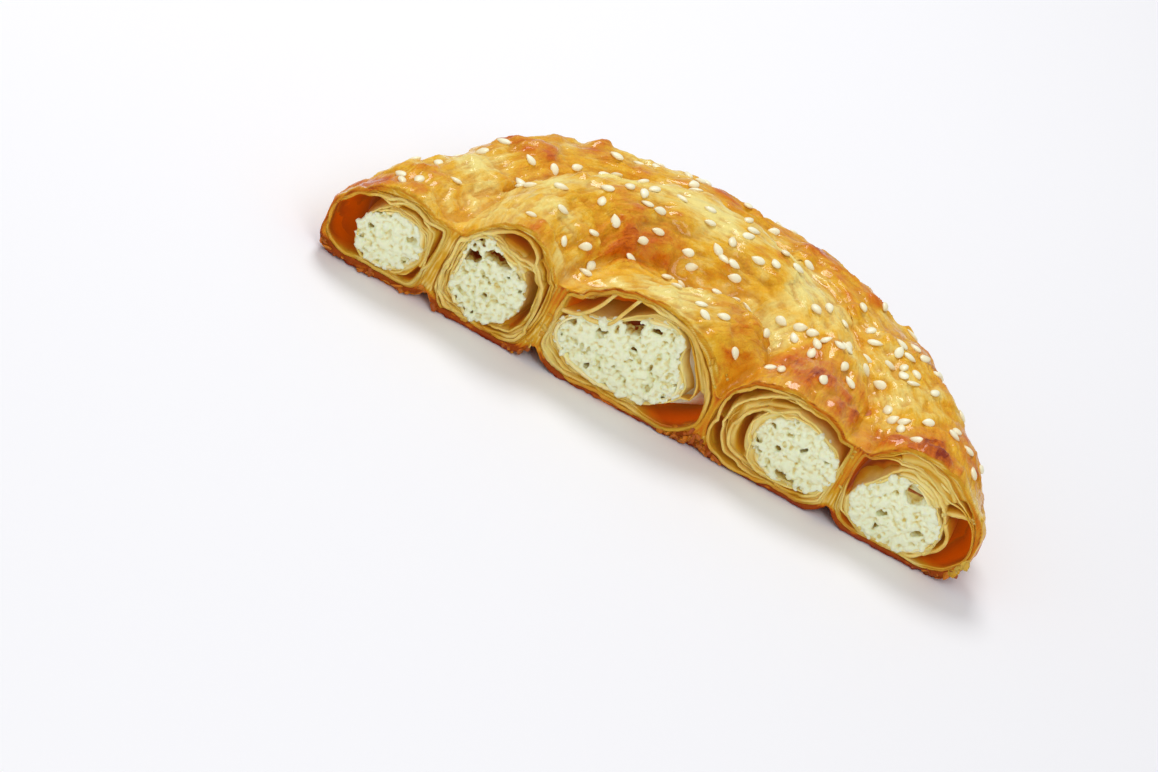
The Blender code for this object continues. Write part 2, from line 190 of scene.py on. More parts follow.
def rounded(value, power):
    """A cosine or a sine bent towards the outline of a rounded box."""
    return math.copysign(abs(value) ** (2 / power), value)


def display(red, green, blue):
    """A colour as it is read off a screen, from 0 to 255, as the shader wants it."""
    parts = []
    for value in (red, green, blue):
        share = value / 255
        parts.append(share / 12.92 if share <= 0.04045 else ((share + 0.055) / 1.055) ** 2.4)
    return (*parts, 1.0)


def noise_over(points, size, shift=0):
    """Smooth noise at each point of an array, from about -1 to 1."""
    return np.array([noise.noise(point) for point in (points / size + shift).tolist()])


def waves(points, height, size, shift):
    """Smooth noise of this height and size at each point of an array."""
    return height * noise_over(points, size, shift)


def between(a, b, c, d, t):
    """A point of the smooth curve through four points, between the second and the third."""
    return b + ((c - a) + ((a * 2 - b * 5 + c * 4 - d) + (b * 3 - a - c * 3 + d) * t) * t) * (t / 2)


def turn_from(angle, direction, spread):
    """How far an angle, or an array of them, lies from a direction, as a share of a spread."""
    turn = np.remainder(angle - math.radians(direction) + math.pi, math.tau) - math.pi
    return turn / math.radians(spread)


def lobe(end, angle):
    """How much the filling swells towards this direction of the cut, as a share."""
    direction, spread, amount = ENDS[end]["lobe"]
    return amount * math.exp(-turn_from(angle, direction, spread) ** 2)


def curve_through(points, steps, closed=False):
    """A smooth curve through points, with this many steps to each span."""
    spots = [Vector(point) for point in points]
    count = len(spots)
    spans = count if closed else count - 1
    found = []
    for span in range(spans):
        picks = [span - 1, span, span + 1, span + 2]
        picks = [pick % count if closed else min(max(pick, 0), count - 1) for pick in picks]
        near = [spots[pick] for pick in picks]
        found += [between(*near, step / steps) for step in range(steps)]
    return found if closed else found + [spots[-1]]


class Coil:
    """One turn of the roll, from its left end on the cut at 0 to its right end on the cut at 1.

    A station holds x, y, the half width and the height, in millimetres. The filling holds, for the
    left end, the back and the right end, its shift outwards, its level, half width and half height.
    """

    def __init__(self, name, stations, filling):
        self.name = name
        self.stations = [Vector(station) * MM for station in stations]
        self.filling = filling
        turns = zip(self.stations, self.stations[1:])
        self.length = sum((b.xy - a.xy).length for a, b in turns)

    def pick(self, index):
        """A station by its number. Past either end it is mirrored in the cut."""
        last = len(self.stations) - 1
        within = abs(index) if index <= last else 2 * last - index
        x, y, half_width, height = self.stations[within]
        return Vector((x, y if within == index else -y, half_width, height))

    def at(self, share):
        """The smooth curve through the stations."""
        along = share * (len(self.stations) - 1)
        index = math.floor(along)
        near = [self.pick(index + step) for step in (-1, 0, 1, 2)]
        return between(*near, along - index)

    def place(self, share):
        """The point of the centre line, and the direction away from the coil's middle."""
        step = 0.001
        run = (self.at(share + step) - self.at(share - step)).xy.normalized()
        return self.at(share).xy.to_3d(), Vector((-run.y, run.x, 0))

    def size(self, share):
        return self.at(share).zw

    def filling_size(self, share):
        weights = ((1 - share) * (1 - 2 * share), 4 * share * (1 - share), share * (2 * share - 1))
        return [sum(w * value for w, value in zip(weights, values)) * MM for values in zip(*self.filling)]

    def swell(self, share, angle):
        """The lobes of both ends, each turned to the section's own direction."""
        left = lobe(self.name + "_left", math.pi - angle)
        right = lobe(self.name + "_right", angle)
        return 1 + blend(left, right, min(1, max(0, share)))


class InnerEnd:
    """The short inner end of the roll: it leaves the cut at a slant and ends in a round nose."""

    name = "inner"

    def __init__(self, start, stop, half_width, height, filling):
        self.start, self.stop = Vector(start).to_3d(), Vector(stop).to_3d()
        self.run = self.stop - self.start
        self.length = self.run.length
        self.half_width, self.height = half_width, height
        self.filling = filling

    def place(self, share):
        outward = Vector((-self.run.y, self.run.x, 0)).normalized()
        return self.start + self.run * share, outward

    def size(self, share):
        return self.half_width, self.height

    def filling_size(self, share):
        return [value * MM for value in self.filling]

    def swell(self, share, angle):
        return 1 + lobe("inner", math.pi - angle)

    def onto_cut(self, point, level):
        """The point moved along the run until its y is this level."""
        return point - self.run * ((point.y - level) / self.run.y)


OUTER = Coil(
    "outer",
    stations=(
        (-67.0, 0, 13.9, 22.5), (-61.5, 17, 13.6, 22.3), (-51, 36.5, 13.6, 23.4), (-36, 56.5, 14.4, 24.8),
        (-13, 65, 15.4, 26.0), (12, 62.5, 15.8, 26.5), (34, 51.5, 16.2, 27.0), (50.5, 33.5, 16.0, 27.2),
        (61, 15, 15.8, 26.6), (64.0, 0, 16.6, 26.2),
    ),
    filling=((-0.7, 9.8, 6.8, 6.2), (1.2, 9.4, 7.2, 6.2), (-2.4, 8.9, 10.0, 7.0)),
)
MIDDLE = Coil(
    "middle",
    stations=(
        (-40.3, 0, 13.8, 28.8), (-36.5, 18, 15.4, 29.6), (-27.5, 33, 17.0, 31.0), (-13, 43, 17.6, 32.0),
        (5, 45, 17.6, 31.6), (19.5, 41, 16.8, 30.0), (29, 31, 15.4, 28.2), (33, 16, 14.8, 26.4),
        (31.3, 0, 16.6, 25.6),
    ),
    filling=((1.5, 10.8, 7.8, 7.8), (-2.0, 10.8, 7.0, 7.2), (4.5, 10.8, 9.5, 7.3)),
)
INNER = InnerEnd(
    start=(-17.1 * MM, -10.5 * MM), stop=(8.6 * MM, 15.0 * MM), half_width=14.6 * MM, height=28.6 * MM,
    filling=(1.9, 10.8, 10.4, 7.4),
)
ROLLS = (OUTER, MIDDLE, INNER)
COIL_OF_END = {
    "outer_left": (OUTER, 0), "outer_right": (OUTER, 1),
    "middle_left": (MIDDLE, 0), "middle_right": (MIDDLE, 1), "inner": (INNER, 0),
}

ANGLES = np.linspace(0, math.tau, 241)
DEPTHS = np.linspace(0, 22 * MM, 12)
OUTLINE_STEPS = 12
INNER_LEAN = 0.22
INNER_CLOSING = 16

# The thickness of the wall by the sine of the direction, and how much more is left under the skin
WALL_AT = ((-1, 1.35), (-0.6, 0.9), (0, 0.5), (0.5, 0.7), (1, 0.85))
SKIN_LEFT = 1.25
CURTAIN_ROOM = 0.1 * MM


class OpenEnd:
    """One open end of the roll: where its filling ends, its wall runs, and how it goes back."""

    def __init__(self, name):
        self.name = name
        self.coil, self.coil_share = COIL_OF_END[name]
        middle, outward = self.coil.place(self.coil_share)
        shift, level, half_width, half_height = self.coil.filling_size(self.coil_share)
        centre = middle + outward * shift
        stretch = 1.0
        if self.coil is INNER:
            centre = INNER.onto_cut(centre, 0)
            stretch = INNER.length / INNER.run.y
        self.x, self.z = centre.x, level
        edge = []
        for angle in ANGLES[:-1]:
            swell = 1 + lobe(name, angle)
            aside = half_width * stretch * swell * math.cos(angle)
            edge.append((aside, half_height * swell * math.sin(angle)))
        self.filling = self.radii(edge)
        outline = curve_through(ENDS[name]["outline"], OUTLINE_STEPS, closed=True)
        self.outline = self.radii([(spot.x * MM - self.x, spot.y * MM - self.z) for spot in outline])
        self.walls = None

    def radii(self, spots):
        """The distance from the middle at each of the even angles, from points round it."""
        spots = np.array(spots)
        angles = np.arctan2(spots[:, 1], spots[:, 0])
        order = np.argsort(angles)
        return np.interp(ANGLES, angles[order], np.hypot(*spots.T)[order], period=math.tau)

    def centre(self, depth):
        """The middle of the end's section at a depth behind the cut, and the direction across it."""
        if self.coil is INNER:
            return Vector((self.x + INNER_LEAN * depth, depth, self.z)), Vector((1, 0, 0))
        away = depth / self.coil.length
        middle, outward = self.coil.place(abs(self.coil_share - away) if self.coil_share else away)
        first_middle, first_outward = self.coil.place(self.coil_share)
        offset = (self.x - first_middle.x) * first_outward.x
        return middle + outward * offset + Vector((0, 0, self.z)), outward * first_outward.x

    def measure(self, hull):
        """Works out where the wall runs at each depth and angle, inside the whole skin."""
        wall = np.interp(np.sin(ANGLES), *zip(*WALL_AT)) * sizes().wall
        rows = []
        for depth in DEPTHS:
            centre, across = self.centre(depth)
            reach = self.outline - wall
            if self.coil is INNER:
                reach = reach * (1 - INNER_CLOSING * depth * np.clip(-np.cos(ANGLES), 0, 1))
            row = []
            for angle, radius in zip(ANGLES, reach):
                way = across * math.cos(angle) + Vector((0, 0, math.sin(angle)))
                hit = hull.ray_cast(centre, way)[3]
                left = SKIN_LEFT * np.interp(math.sin(angle), *zip(*WALL_AT)) * sizes().wall
                row.append(min(radius, hit - left) if hit else radius)
            rows.append(row)
        self.walls = np.array(rows)

    def wall(self, angle, depth):
        row = np.interp(min(max(depth, 0), DEPTHS[-1]), DEPTHS, np.arange(len(DEPTHS)))
        low = min(int(row), len(DEPTHS) - 2)
        turn = angle % math.tau
        first = np.interp(turn, ANGLES, self.walls[low])
        second = np.interp(turn, ANGLES, self.walls[low + 1])
        return blend(first, second, row - low)

    def point(self, angle, share, depth):
        """A point of the section at a depth, from the filling's edge at 0 to the wall at 1."""
        centre, across = self.centre(depth)
        edge = np.interp(angle % math.tau, ANGLES, self.filling)
        radius = blend(edge, max(self.wall(angle, depth), edge), share)
        return centre + across * (radius * math.cos(angle)) + Vector((0, 0, radius * math.sin(angle)))

    def kept_inside(self, spot):
        """The point itself, or the nearest one towards the middle that the wall leaves room for."""
        centre, across = self.centre(max(0.0, spot.y))
        aside, up = (spot - centre).dot(across), spot.z - centre.z
        room = self.wall(math.atan2(up, aside), spot.y) - CURTAIN_ROOM
        reach = min(1.0, room / max(math.hypot(aside, up), 1e-9))
        return Vector((centre.x + (spot.x - centre.x) * reach, spot.y, centre.z + up * reach))

    def within(self, angle, share, depth):
        """A point within the filling, from its middle at 0 to its edge at 1."""
        centre, across = self.centre(depth)
        radius = np.interp(angle % math.tau, ANGLES, self.filling) * share
        return centre + across * (radius * math.cos(angle)) + Vector((0, 0, radius * math.sin(angle)))

    def outline_share(self, x, z):
        """How far out points of the cut lie, as a share of the way to this end's outline."""
        angles = np.arctan2(z - self.z, x - self.x) % math.tau
        return np.hypot(x - self.x, z - self.z) / np.interp(angles, ANGLES, self.outline)


OPEN_ENDS = {name: OpenEnd(name) for name in ENDS}


def length_property(name, description, default):
    return FloatProperty(name=name, description=description, default=default, unit="LENGTH", precision=5)


class PastrySizes(bpy.types.PropertyGroup):
    """Sizes that a maker would change."""

    skin_cell: length_property("Skin cell", "Mesh cell of the baked skin", 0.6 * MM)
    wall: length_property("Wall", "Skin left round each open end", 1.1 * MM)
    hollow_depth: length_property("Hollow depth", "How deep the open ends reach", 20 * MM)
    layer_thickness: length_property("Layer thickness", "One sheet of dough", 0.36 * MM)
    crumb_cell: length_property("Crumb cell", "Mesh cell of the broken cheese", 0.27 * MM)
    seed_length: length_property("Seed length", "Length of a sesame seed", 3.45 * MM)
    seed_width: length_property("Seed width", "Width of a sesame seed", 2.2 * MM)
    seed_height: length_property("Seed height", "Thickness of a sesame seed", 1.1 * MM)
    layer_count: IntProperty(name="Layers", description="Sheets of dough round each filling", default=6)
    flake_count: IntProperty(name="Flakes", description="Scraps of crust on the cut", default=150)
    seed_count: IntProperty(name="Seeds", description="Seeds before the clumps are added", default=118)


def colour_property(name, description, red, green, blue):
    return FloatVectorProperty(
        name=name, description=description, subtype="COLOR", size=4, min=0, max=1,
        default=display(red, green, blue),
    )


class PastryColours(bpy.types.PropertyGroup):
    """Colours that a maker would change."""

    pale: colour_property("Pale skin", "Skin that has hardly browned", 255, 234, 140)
    golden: colour_property("Golden skin", "Skin that is just done", 244, 186, 42)
    amber: colour_property("Amber skin", "Skin that has browned", 219, 110, 0)
    brown: colour_property("Brown skin", "Darkest skin at the rim and base", 146, 44, 0)
    # The groove tone is painted shade, laid into the skin's folds by how hollow they are.
    groove: colour_property("Groove", "Folds of the skin, where the egg wash has gathered", 208, 132, 4)
    dough_pale: colour_property("Pale dough", "Sheet of dough against the cheese", 251, 238, 184)
    dough: colour_property("Dough edge", "Edge of a sheet of dough", 245, 218, 132)
    dough_warm: colour_property("Warm dough", "Inside of a sheet of dough", 214, 162, 36)
    # Deep and dark dough are the browned base, and also painted shade on the walls and backs of the
    # hollows.
    dough_deep: colour_property("Deep dough", "Wall of a hollow", 206, 108, 4)
    dough_dark: colour_property("Dark dough", "Back of a hollow, and the base", 156, 52, 0)
    shine: colour_property("Shine", "Light that passes through the sheets of dough", 50, 37, 8)
    glow: colour_property("Glow", "Light that the thin crust lets into a hollow", 132, 54, 0)
    cheese: colour_property("Cheese", "Crumbly white cheese", 243, 248, 212)
    # The pit and gap tones of the cheese are painted shade between its crumbs and deep in its hollows.
    cheese_pit: colour_property("Cheese pit", "Small pits of the cheese", 222, 196, 104)
    cheese_gap_shade: colour_property("Cheese gap", "Depth of a hollow in the cheese", 160, 64, 3)
    seed: colour_property("Sesame", "Sesame seed", 255, 251, 216)
    seed_tip: colour_property("Sesame tip", "Pointed tip of a sesame seed", 240, 216, 156)
    floor: colour_property("Floor", "Plain pale floor", 250, 250, 252)


def sizes():
    return bpy.context.scene.pastry_sizes


def colours():
    return bpy.context.scene.pastry_colours


def clear_selection():
    for other in list(bpy.context.selected_objects):
        other.select_set(False)


def make_active(piece):
    clear_selection()
    piece.select_set(True)
    bpy.context.view_layer.objects.active = piece


def apply_modifier(piece, kind, **settings):
    make_active(piece)
    modifier = piece.modifiers.new(kind.lower(), kind)
    for name, value in settings.items():
        setattr(modifier, name, value)
    bpy.ops.object.modifier_apply(modifier=modifier.name)


def corners(piece):
    """The vertices of a piece as an array."""
    found = np.empty(len(piece.data.vertices) * 3)
    piece.data.vertices.foreach_get("co", found)
    return found.reshape(-1, 3)


def normals(piece):
    found = np.empty(len(piece.data.vertices) * 3)
    piece.data.vertex_normals.foreach_get("vector", found)
    return found.reshape(-1, 3)


def move_corners(piece, points):
    piece.data.vertices.foreach_set("co", np.asarray(points).ravel())
    piece.data.update()


def join(pieces, name):
    clear_selection()
    for piece in pieces:
        piece.select_set(True)
    bpy.context.view_layer.objects.active = pieces[0]
    if len(pieces) > 1:
        bpy.ops.object.join()
    pieces[0].name = name
    pieces[0].data.name = name
    return pieces[0]


def combine(piece, other, operation):
    """Cuts another solid from a piece or adds it, and removes the other solid."""
    apply_modifier(piece, "BOOLEAN", operation=operation, solver="MANIFOLD", object=other)
    bpy.data.objects.remove(other)


def edit_whole(piece, *steps):
    """Runs steps on a whole mesh in edit mode, and then turns its faces outwards."""
    make_active(piece)
    bpy.ops.object.mode_set(mode="EDIT")
    for step, settings in (*steps, (bpy.ops.mesh.normals_make_consistent, {"inside": False})):
        bpy.ops.mesh.select_all(action="SELECT")
        step(**settings)
    bpy.ops.object.mode_set(mode="OBJECT")


def grid(name, across, along, point_at):
    """A flat grid, whose corners are then put where point_at says for the shares across and along."""
    clear_selection()
    bpy.ops.mesh.primitive_grid_add(x_subdivisions=across, y_subdivisions=along, size=1)
    made = bpy.context.object
    made.name = name
    made.data.name = name
    flat = corners(made)
    spots = [point_at(x + 0.5, y + 0.5) for x, y, _ in flat.tolist()]
    move_corners(made, spots)
    return made


SEAM = 0.002 * MM


def tube(name, around, along, point_at):
    """A closed tube: a grid is rolled up, joined along its seam, and its two ends are filled."""
    made = grid(name, around, along, point_at)
    edit_whole(
        made,
        (bpy.ops.mesh.remove_doubles, {"threshold": SEAM}),
        (bpy.ops.mesh.fill_holes, {"sides": 0}),
        (bpy.ops.mesh.quads_convert_to_tris, {}),
    )
    return made


def set_attribute(piece, name, values):
    """Keeps one number for each corner of a piece, which its material reads."""
    made = piece.data.attributes.new(name, "FLOAT", "POINT")
    made.data.foreach_set("value", np.asarray(values, dtype=np.float32))


def finish_piece(piece, name, finish, replaced=()):
    """Names the piece, moves its mesh onto the model, hangs it on the body it rides on, and hides the parts
    of the model that it stands for.
    """
    piece.name = name
    piece.data.name = name
    piece.data.transform(Matrix.Translation(ORIGIN))
    piece.data.materials.clear()
    piece.data.materials.append(finish)
    make_active(piece)
    bpy.ops.object.shade_smooth()
    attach(piece, "root")
    if replaced:
        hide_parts(*replaced)
    clear_selection()


class Socket:
    """A socket of a material, so that shader maths is written as plain sums."""

    def __init__(self, graph, socket):
        self.graph, self.socket = graph, socket

    def maths(self, operation, *values):
        return self.graph.node("ShaderNodeMath", {"operation": operation}, dict(enumerate(values)))

    def __add__(self, other):
        return self.maths("ADD", self, other)

    def __sub__(self, other):
        return self.maths("SUBTRACT", self, other)

    def __rsub__(self, other):
        return self.maths("SUBTRACT", other, self)

    def __mul__(self, other):
        return self.maths("MULTIPLY", self, other)


class Finish:
    """A material under construction."""

    def __init__(self, name, **constants):
        self.material = bpy.data.materials.new(name)
        self.material.use_nodes = True
        self.tree = self.material.node_tree
        self.shader = self.tree.nodes["Principled BSDF"]
        for label, value in constants.items():
            self.shader.inputs[label.replace("_", " ")].default_value = value

    def node(self, kind, settings=None, inputs=None, output=0):
        """Adds one node: its settings come first, then the values or links of its sockets."""
        made = self.tree.nodes.new(kind)
        for label, value in (settings or {}).items():
            setattr(made, label, value)
        for label, value in (inputs or {}).items():
            if isinstance(value, Socket):
                self.tree.links.new(value.socket, made.inputs[label])
            else:
                made.inputs[label].default_value = value
        return Socket(self, made.outputs[output])

    def position(self):
        return self.node("ShaderNodeTexCoord", output="Object")

    def stored(self, name):
        return self.node("ShaderNodeAttribute", {"attribute_name": name}, output="Fac")

    def vector(self, x, y):
        return self.node("ShaderNodeCombineXYZ", inputs={"X": x, "Y": y})

    def noise(self, scale, detail=3.0, rough=0.55, twist=0.0, place=None):
        inputs = {"Vector": place or self.position(), "Scale": scale, "Detail": detail, "Roughness": rough}
        inputs["Distortion"] = twist
        return self.node("ShaderNodeTexNoise", inputs=inputs, output="Fac")

    def around_zero(self, pattern, height):
        """A noise pattern, which runs round one half, as a value of this height round zero."""
        return (pattern - 0.5) * height

    def ramp(self, value, stops, tones):
        """A colour ramp, with one colour for each of its stops."""
        found = self.node("ShaderNodeValToRGB", inputs={"Fac": value}, output="Color")
        ramp = found.socket.node.color_ramp
        while len(ramp.elements) < len(stops):
            ramp.elements.new(0.5)
        for element, place, colour in zip(ramp.elements, stops, tones):
            element.position = place
            element.color = colour
        return found

    def span(self, value, low, high, to_low=0.0, to_high=1.0):
        """A value between two limits carried to two others, and held there."""
        inputs = {"Value": value, "From Min": low, "From Max": high, "To Min": to_low, "To Max": to_high}
        return self.node("ShaderNodeMapRange", {"clamp": True}, inputs, output="Result")

    def mix(self, share, first, second):
        inputs = {"Factor": share, "A": first, "B": second}
        return self.node("ShaderNodeMix", {"data_type": "RGBA"}, inputs, output="Result")

    def bump(self, height, strength, distance):
        inputs = {"Height": height, "Strength": strength, "Distance": distance}
        return self.node("ShaderNodeBump", inputs=inputs)

    def lit_through(self, inside):
        """Light that comes through the dough inside: faint everywhere, and strong where glow says so."""
        tone = colours()
        light = self.mix(self.stored("glow"), tone.shine, tone.glow)
        self.shader.inputs["Emission Strength"].default_value = 1.0
        self.feed("Emission Color", self.mix(inside, (0, 0, 0, 1), light))

    def feed(self, label, value):
        self.tree.links.new(value.socket, self.shader.inputs[label])


# Patterns of the materials: scale, detail, roughness and distortion of the noise
SKIN_PATCHES = (150, 5, 0.6, 0.6)
SKIN_SPECKS = (620, 4, 0.65)
SKIN_STREAKS = (800, 5, 0.65, 0.6)
SKIN_GLAZE = (95, 3)
SKIN_GRAIN = (1400, 4, 0.6)
SKIN_PORES = (420, 3, 0.5)
DOUGH_PATCHES = (260, 4, 0.6)
DOUGH_GRAIN = (900, 4, 0.6)
CHEESE_PATCHES = (240, 4, 0.6)
CHEESE_SPECKS = (620, 3)
CHEESE_PORES = (2200, 4, 0.65)
SEED_PATCHES = (700, 3, 0.6)
SEED_GRAIN = (1800, 3)

# From where to where a pattern is read, and what it gives at either end
SKIN_ROUGHNESS = (0.35, 0.65, 0.52, 0.36)
GLAZE_WEIGHT = (0.4, 0.6, 0.05, 0.85)
DOUGH_ROUGHNESS = (0.35, 0.65, 0.5, 0.34)
CHEESE_ROUGHNESS = (0.3, 0.7, 0.5, 0.68)
SEED_ROUGHNESS = (0.3, 0.7, 0.34, 0.46)

# Bumps: strength and height
SKIN_BUMP = (0.7, 0.42 * MM)
DOUGH_BUMP = (0.4, 0.2 * MM)
CHEESE_BUMP = (0.5, 0.15 * MM)
SEED_BUMP = (0.25, 0.1 * MM)

# How much the groove's colour, painted shade in the skin's folds, shows, how long the streaks are drawn,
# and how much of the patches, the specks and the streaks is in the brown, the dough, the cheese, the
# seeds and the bumps
FOLD_SHADE_MIX = 0.5
STREAK_STRETCH = 0.22
BROWN_MIX = (0.6, 0.3, 0.6)
DOUGH_MIX = (0.85, 0.15, 0.25)
CHEESE_MIX = (0.3, 0.35)
SEED_MIX = (0.6, 0.3, 0.4)
SKIN_BUMP_MIX = (1.6, 3)

# Where the tones of each ramp lie
BROWN_STOPS = (0.05, 0.38, 0.74, 1.0)
DOUGH_STOPS = (0.0, 0.2, 0.46, 0.78, 1.0)
CHEESE_STOPS = (0.0, 0.6, 0.95)
SEED_STOPS = (0.05, 0.8)


def relief_at(points, along, across):
    """How far the baked skin stands proud, as in the solid: bulges, lumps and pleats."""
    height, width, length, shift = PLEAT
    lines = np.stack([across / width, along / length, np.full(len(across), shift)], axis=1)
    return waves(points, *BULGE) + waves(points, *LUMP) + height * noise_over(lines, 1.0)


def roll_ring(coil, share, count, width_share=1.0, height_share=1.0):
    """One ring of the roll's skin, wide at its foot and domed above, with its relief."""
    middle, outward = coil.place(share)
    half_width, height = coil.size(share)
    half_width *= width_share
    height *= height_share
    belt = middle + Vector((0, 0, WIDEST_AT * height))
    ways, acrosses = [], []
    for i in range(count):
        angle = math.tau * i / count
        upper = math.sin(angle) > 0
        power = DOME_POWER if upper else FOOT_POWER
        rise = height - belt.z if upper else belt.z + BASE_SINK
        aside = outward * half_width * rounded(math.cos(angle), power)
        ways.append(aside + Vector((0, 0, rise * rounded(math.sin(angle), power))))
        acrosses.append(half_width * math.cos(angle))
    ways = np.array(ways)
    points = np.array(belt) + ways
    proud = relief_at(points, np.full(count, share * coil.length), np.array(acrosses))
    proud *= np.clip((points[:, 2] - RELIEF_FROM) / (RELIEF_FULL - RELIEF_FROM), 0, 1)
    lengths = np.maximum(np.linalg.norm(ways, axis=1, keepdims=True), 1e-9)
    return points + ways / lengths * proud[:, None]


def tube_through(name, rings):
    """A closed tube through rings of equal count."""
    count = len(rings[0])
    last = len(rings) - 1

    def point_at(around, along):
        return rings[round(along * last)][round(around * count) % count]

    return tube(name, count, last, point_at)


SKIN_AROUND = 110
SKIN_STEP = 0.9 * MM
COIL_OVERRUN = 0.045


def coil_skin(coil):
    along = round(coil.length / SKIN_STEP)
    shares = [blend(-COIL_OVERRUN, 1 + COIL_OVERRUN, i / along) for i in range(along + 1)]
    return tube_through(coil.name, [roll_ring(coil, share, SKIN_AROUND) for share in shares])


def inner_skin():
    along = round(INNER.length / SKIN_STEP)
    rings = [roll_ring(INNER, i / along, SKIN_AROUND) for i in range(along + 1)]
    for i in range(1, NOSE_RINGS + 1):
        turn = NOSE_TURN * i / NOSE_RINGS
        share = 1 + NOSE_REACH * INNER.half_width * math.sin(turn) / INNER.length
        height_share = blend(NOSE_TIP_HEIGHT, 1, math.cos(turn))
        rings.append(roll_ring(INNER, share, SKIN_AROUND, math.cos(turn), height_share))
    return tube_through("inner", rings)


def web_top(x, y):
    top = WEB_TOP
    for wave in WEB_WAVES:
        wave_x, wave_y, size, rise = (value * MM for value in wave)
        top += rise * math.exp(-((x - wave_x) ** 2 + (y - wave_y) ** 2) / size ** 2)
    return top


def web_block():
    """What fills the low space between the coils."""
    x_reach, y_reach = WEB_REACH

    def lid(across, along):
        x = blend(-x_reach, x_reach, across)
        deep = y_reach * math.sqrt(max(0.0, 1 - (x / x_reach) ** 2))
        y = blend(WEB_BEFORE, deep - WEB_SET_IN, along)
        return x, y, web_top(x, y)

    made = grid("web", *WEB_CELLS, lid)
    apply_modifier(made, "SOLIDIFY", thickness=WEB_TOP - WEB_FOOT, offset=-1)
    return made


# Where along_rolls looks, as shares of a coil and of the inner end, how many points it takes at once,
# and by how much the next roll has to be further away for a point to be sure
COIL_SHARES = np.linspace(-0.05, 1.05, 260)
INNER_SHARES = np.linspace(0, 1.4, 65)
POINTS_AT_ONCE = 20000
SURE = (0.02, 0.22)


def along_rolls(points):
    """For each point, how far along its roll it lies, how far across, which roll, and how surely."""
    best = np.full(len(points), 1e9)
    next_best = np.full(len(points), 1e9)
    along = np.zeros(len(points))
    across = np.zeros(len(points))
    which = np.zeros(len(points), dtype=int)
    for number, roll in enumerate(ROLLS):
        shares = INNER_SHARES if roll is INNER else COIL_SHARES
        places = [roll.place(float(share)) for share in shares]
        middles = np.array([middle.xy for middle, _ in places])
        outwards = np.array([outward.xy for _, outward in places])
        widths = np.array([roll.size(float(share))[0] for share in shares])
        for start in range(0, len(points), POINTS_AT_ONCE):
            part = slice(start, start + POINTS_AT_ONCE)
            ways = points[part, None, :2] - middles[None]
            reach = (ways ** 2).sum(axis=2)
            nearest = reach.argmin(axis=1)
            rows = np.arange(len(nearest))
            aside = (ways[rows, nearest] * outwards[nearest]).sum(axis=1)
            score = np.sqrt(reach[rows, nearest]) / widths[nearest]
            closer = score < best[part]
            next_best[part] = np.where(closer, best[part], np.minimum(score, next_best[part]))
            best[part] = np.where(closer, score, best[part])
            along[part] = np.where(closer, shares[nearest] * roll.length, along[part])
            across[part] = np.where(closer, aside, across[part])
            which[part] = np.where(closer, number, which[part])
    return along, across, which, smooth_step(next_best - best, *SURE)


# Smaller relief of the skin: height, size and the noise's own shift
BLISTER = (0.95 * MM, 7.5 * MM, 11.3)
BLISTER_SPAN = (0.12, 0.5)
DIMPLE = (0.3 * MM, 2.6 * MM, 4.7)
GRAIN = (0.07 * MM, 0.9 * MM, 2.2)
FOLD_STEP = (0.3 * MM, 11 * MM, 41.0)
FOLD_SHARPNESS = 34

# Ridges along the rolls: height, width, length, how much they bend, how far apart and shifted the
# patterns of two rolls are, and how sharp they are
CREASE = (0.6 * MM, 3.6 * MM, 26 * MM, 0.7, 3.1, 0.5, 3.2)
WRINKLE = (0.2 * MM, 1.5 * MM, 9 * MM, 1.0, 5.7, 0.0, 4.0)
BEND = (9 * MM, 21.0)
RIDGE_GROOVE = -0.6
CREASED = (16 * MM, 31.0)
CREASED_SPAN = (-0.25, 0.35)

# A round blister near the left end: x, y, radius, and the width and height of its rim
RING_BLISTER = (-48.2 * MM, 27.7 * MM, 2.2 * MM, 0.7 * MM, 0.55 * MM)


def ridges(along, across, number, bend, kind):
    """Sharp ridges drawn out along the rolls, with shallow grooves beside them."""
    height, width, length, bending, apart, shift, sharpness = kind
    lines = np.stack([across / width + bending * bend, along / length, number * apart + shift], axis=1)
    return height * np.clip(1 - np.abs(noise_over(lines, 1.0)) * sharpness, RIDGE_GROOVE, 1)


def fine_relief(points, along, across, number, sure):
    """The smaller relief of the skin: blisters, dimples, creases along the roll, and fold edges.

    The lines that run along a roll fade out where it meets the next one.
    """
    height, size, shift = BLISTER
    blister = height * smooth_step(noise_over(points, size, shift), *BLISTER_SPAN)
    ring_x, ring_y, radius, rim, rise = RING_BLISTER
    reach = np.hypot(points[:, 0] - ring_x, points[:, 1] - ring_y)
    blister += rise * np.exp(-(((reach - radius) / rim) ** 2))
    bend = noise_over(points, *BEND)
    creased = smooth_step(noise_over(points, *CREASED), *CREASED_SPAN)
    crease = ridges(along, across, number, bend, CREASE) * creased
    wrinkle = ridges(along, across, number, bend, WRINKLE)
    height, size, shift = FOLD_STEP
    fold = height * np.tanh(noise_over(points, size, shift) * FOLD_SHARPNESS)
    return blister + waves(points, *DIMPLE) + waves(points, *GRAIN) + fold + (crease + wrinkle) * sure


HOLLOW_AROUND = 120

# Rings of a hollow: how deep, where the last is its full depth, and how wide as a share of the wall
HOLLOW_RINGS = (
    (-4, 1.0), (0, 1.0), (3, 1.0), (6, 0.99), (10, 0.97), (14, 0.94), (17, 0.88), (19, 0.76), (20, 0.5),
)


def hollow_cutter(end):
    """What the open end of a roll leaves empty inside its skin."""
    deepest = HOLLOW_RINGS[-1][0]
    rings = []
    for level, share in HOLLOW_RINGS:
        depth = level / deepest * sizes().hollow_depth
        rings.append([end.point(math.tau * i / HOLLOW_AROUND, share, depth) for i in range(HOLLOW_AROUND)])
    return tube_through("hollow_" + end.name, rings)


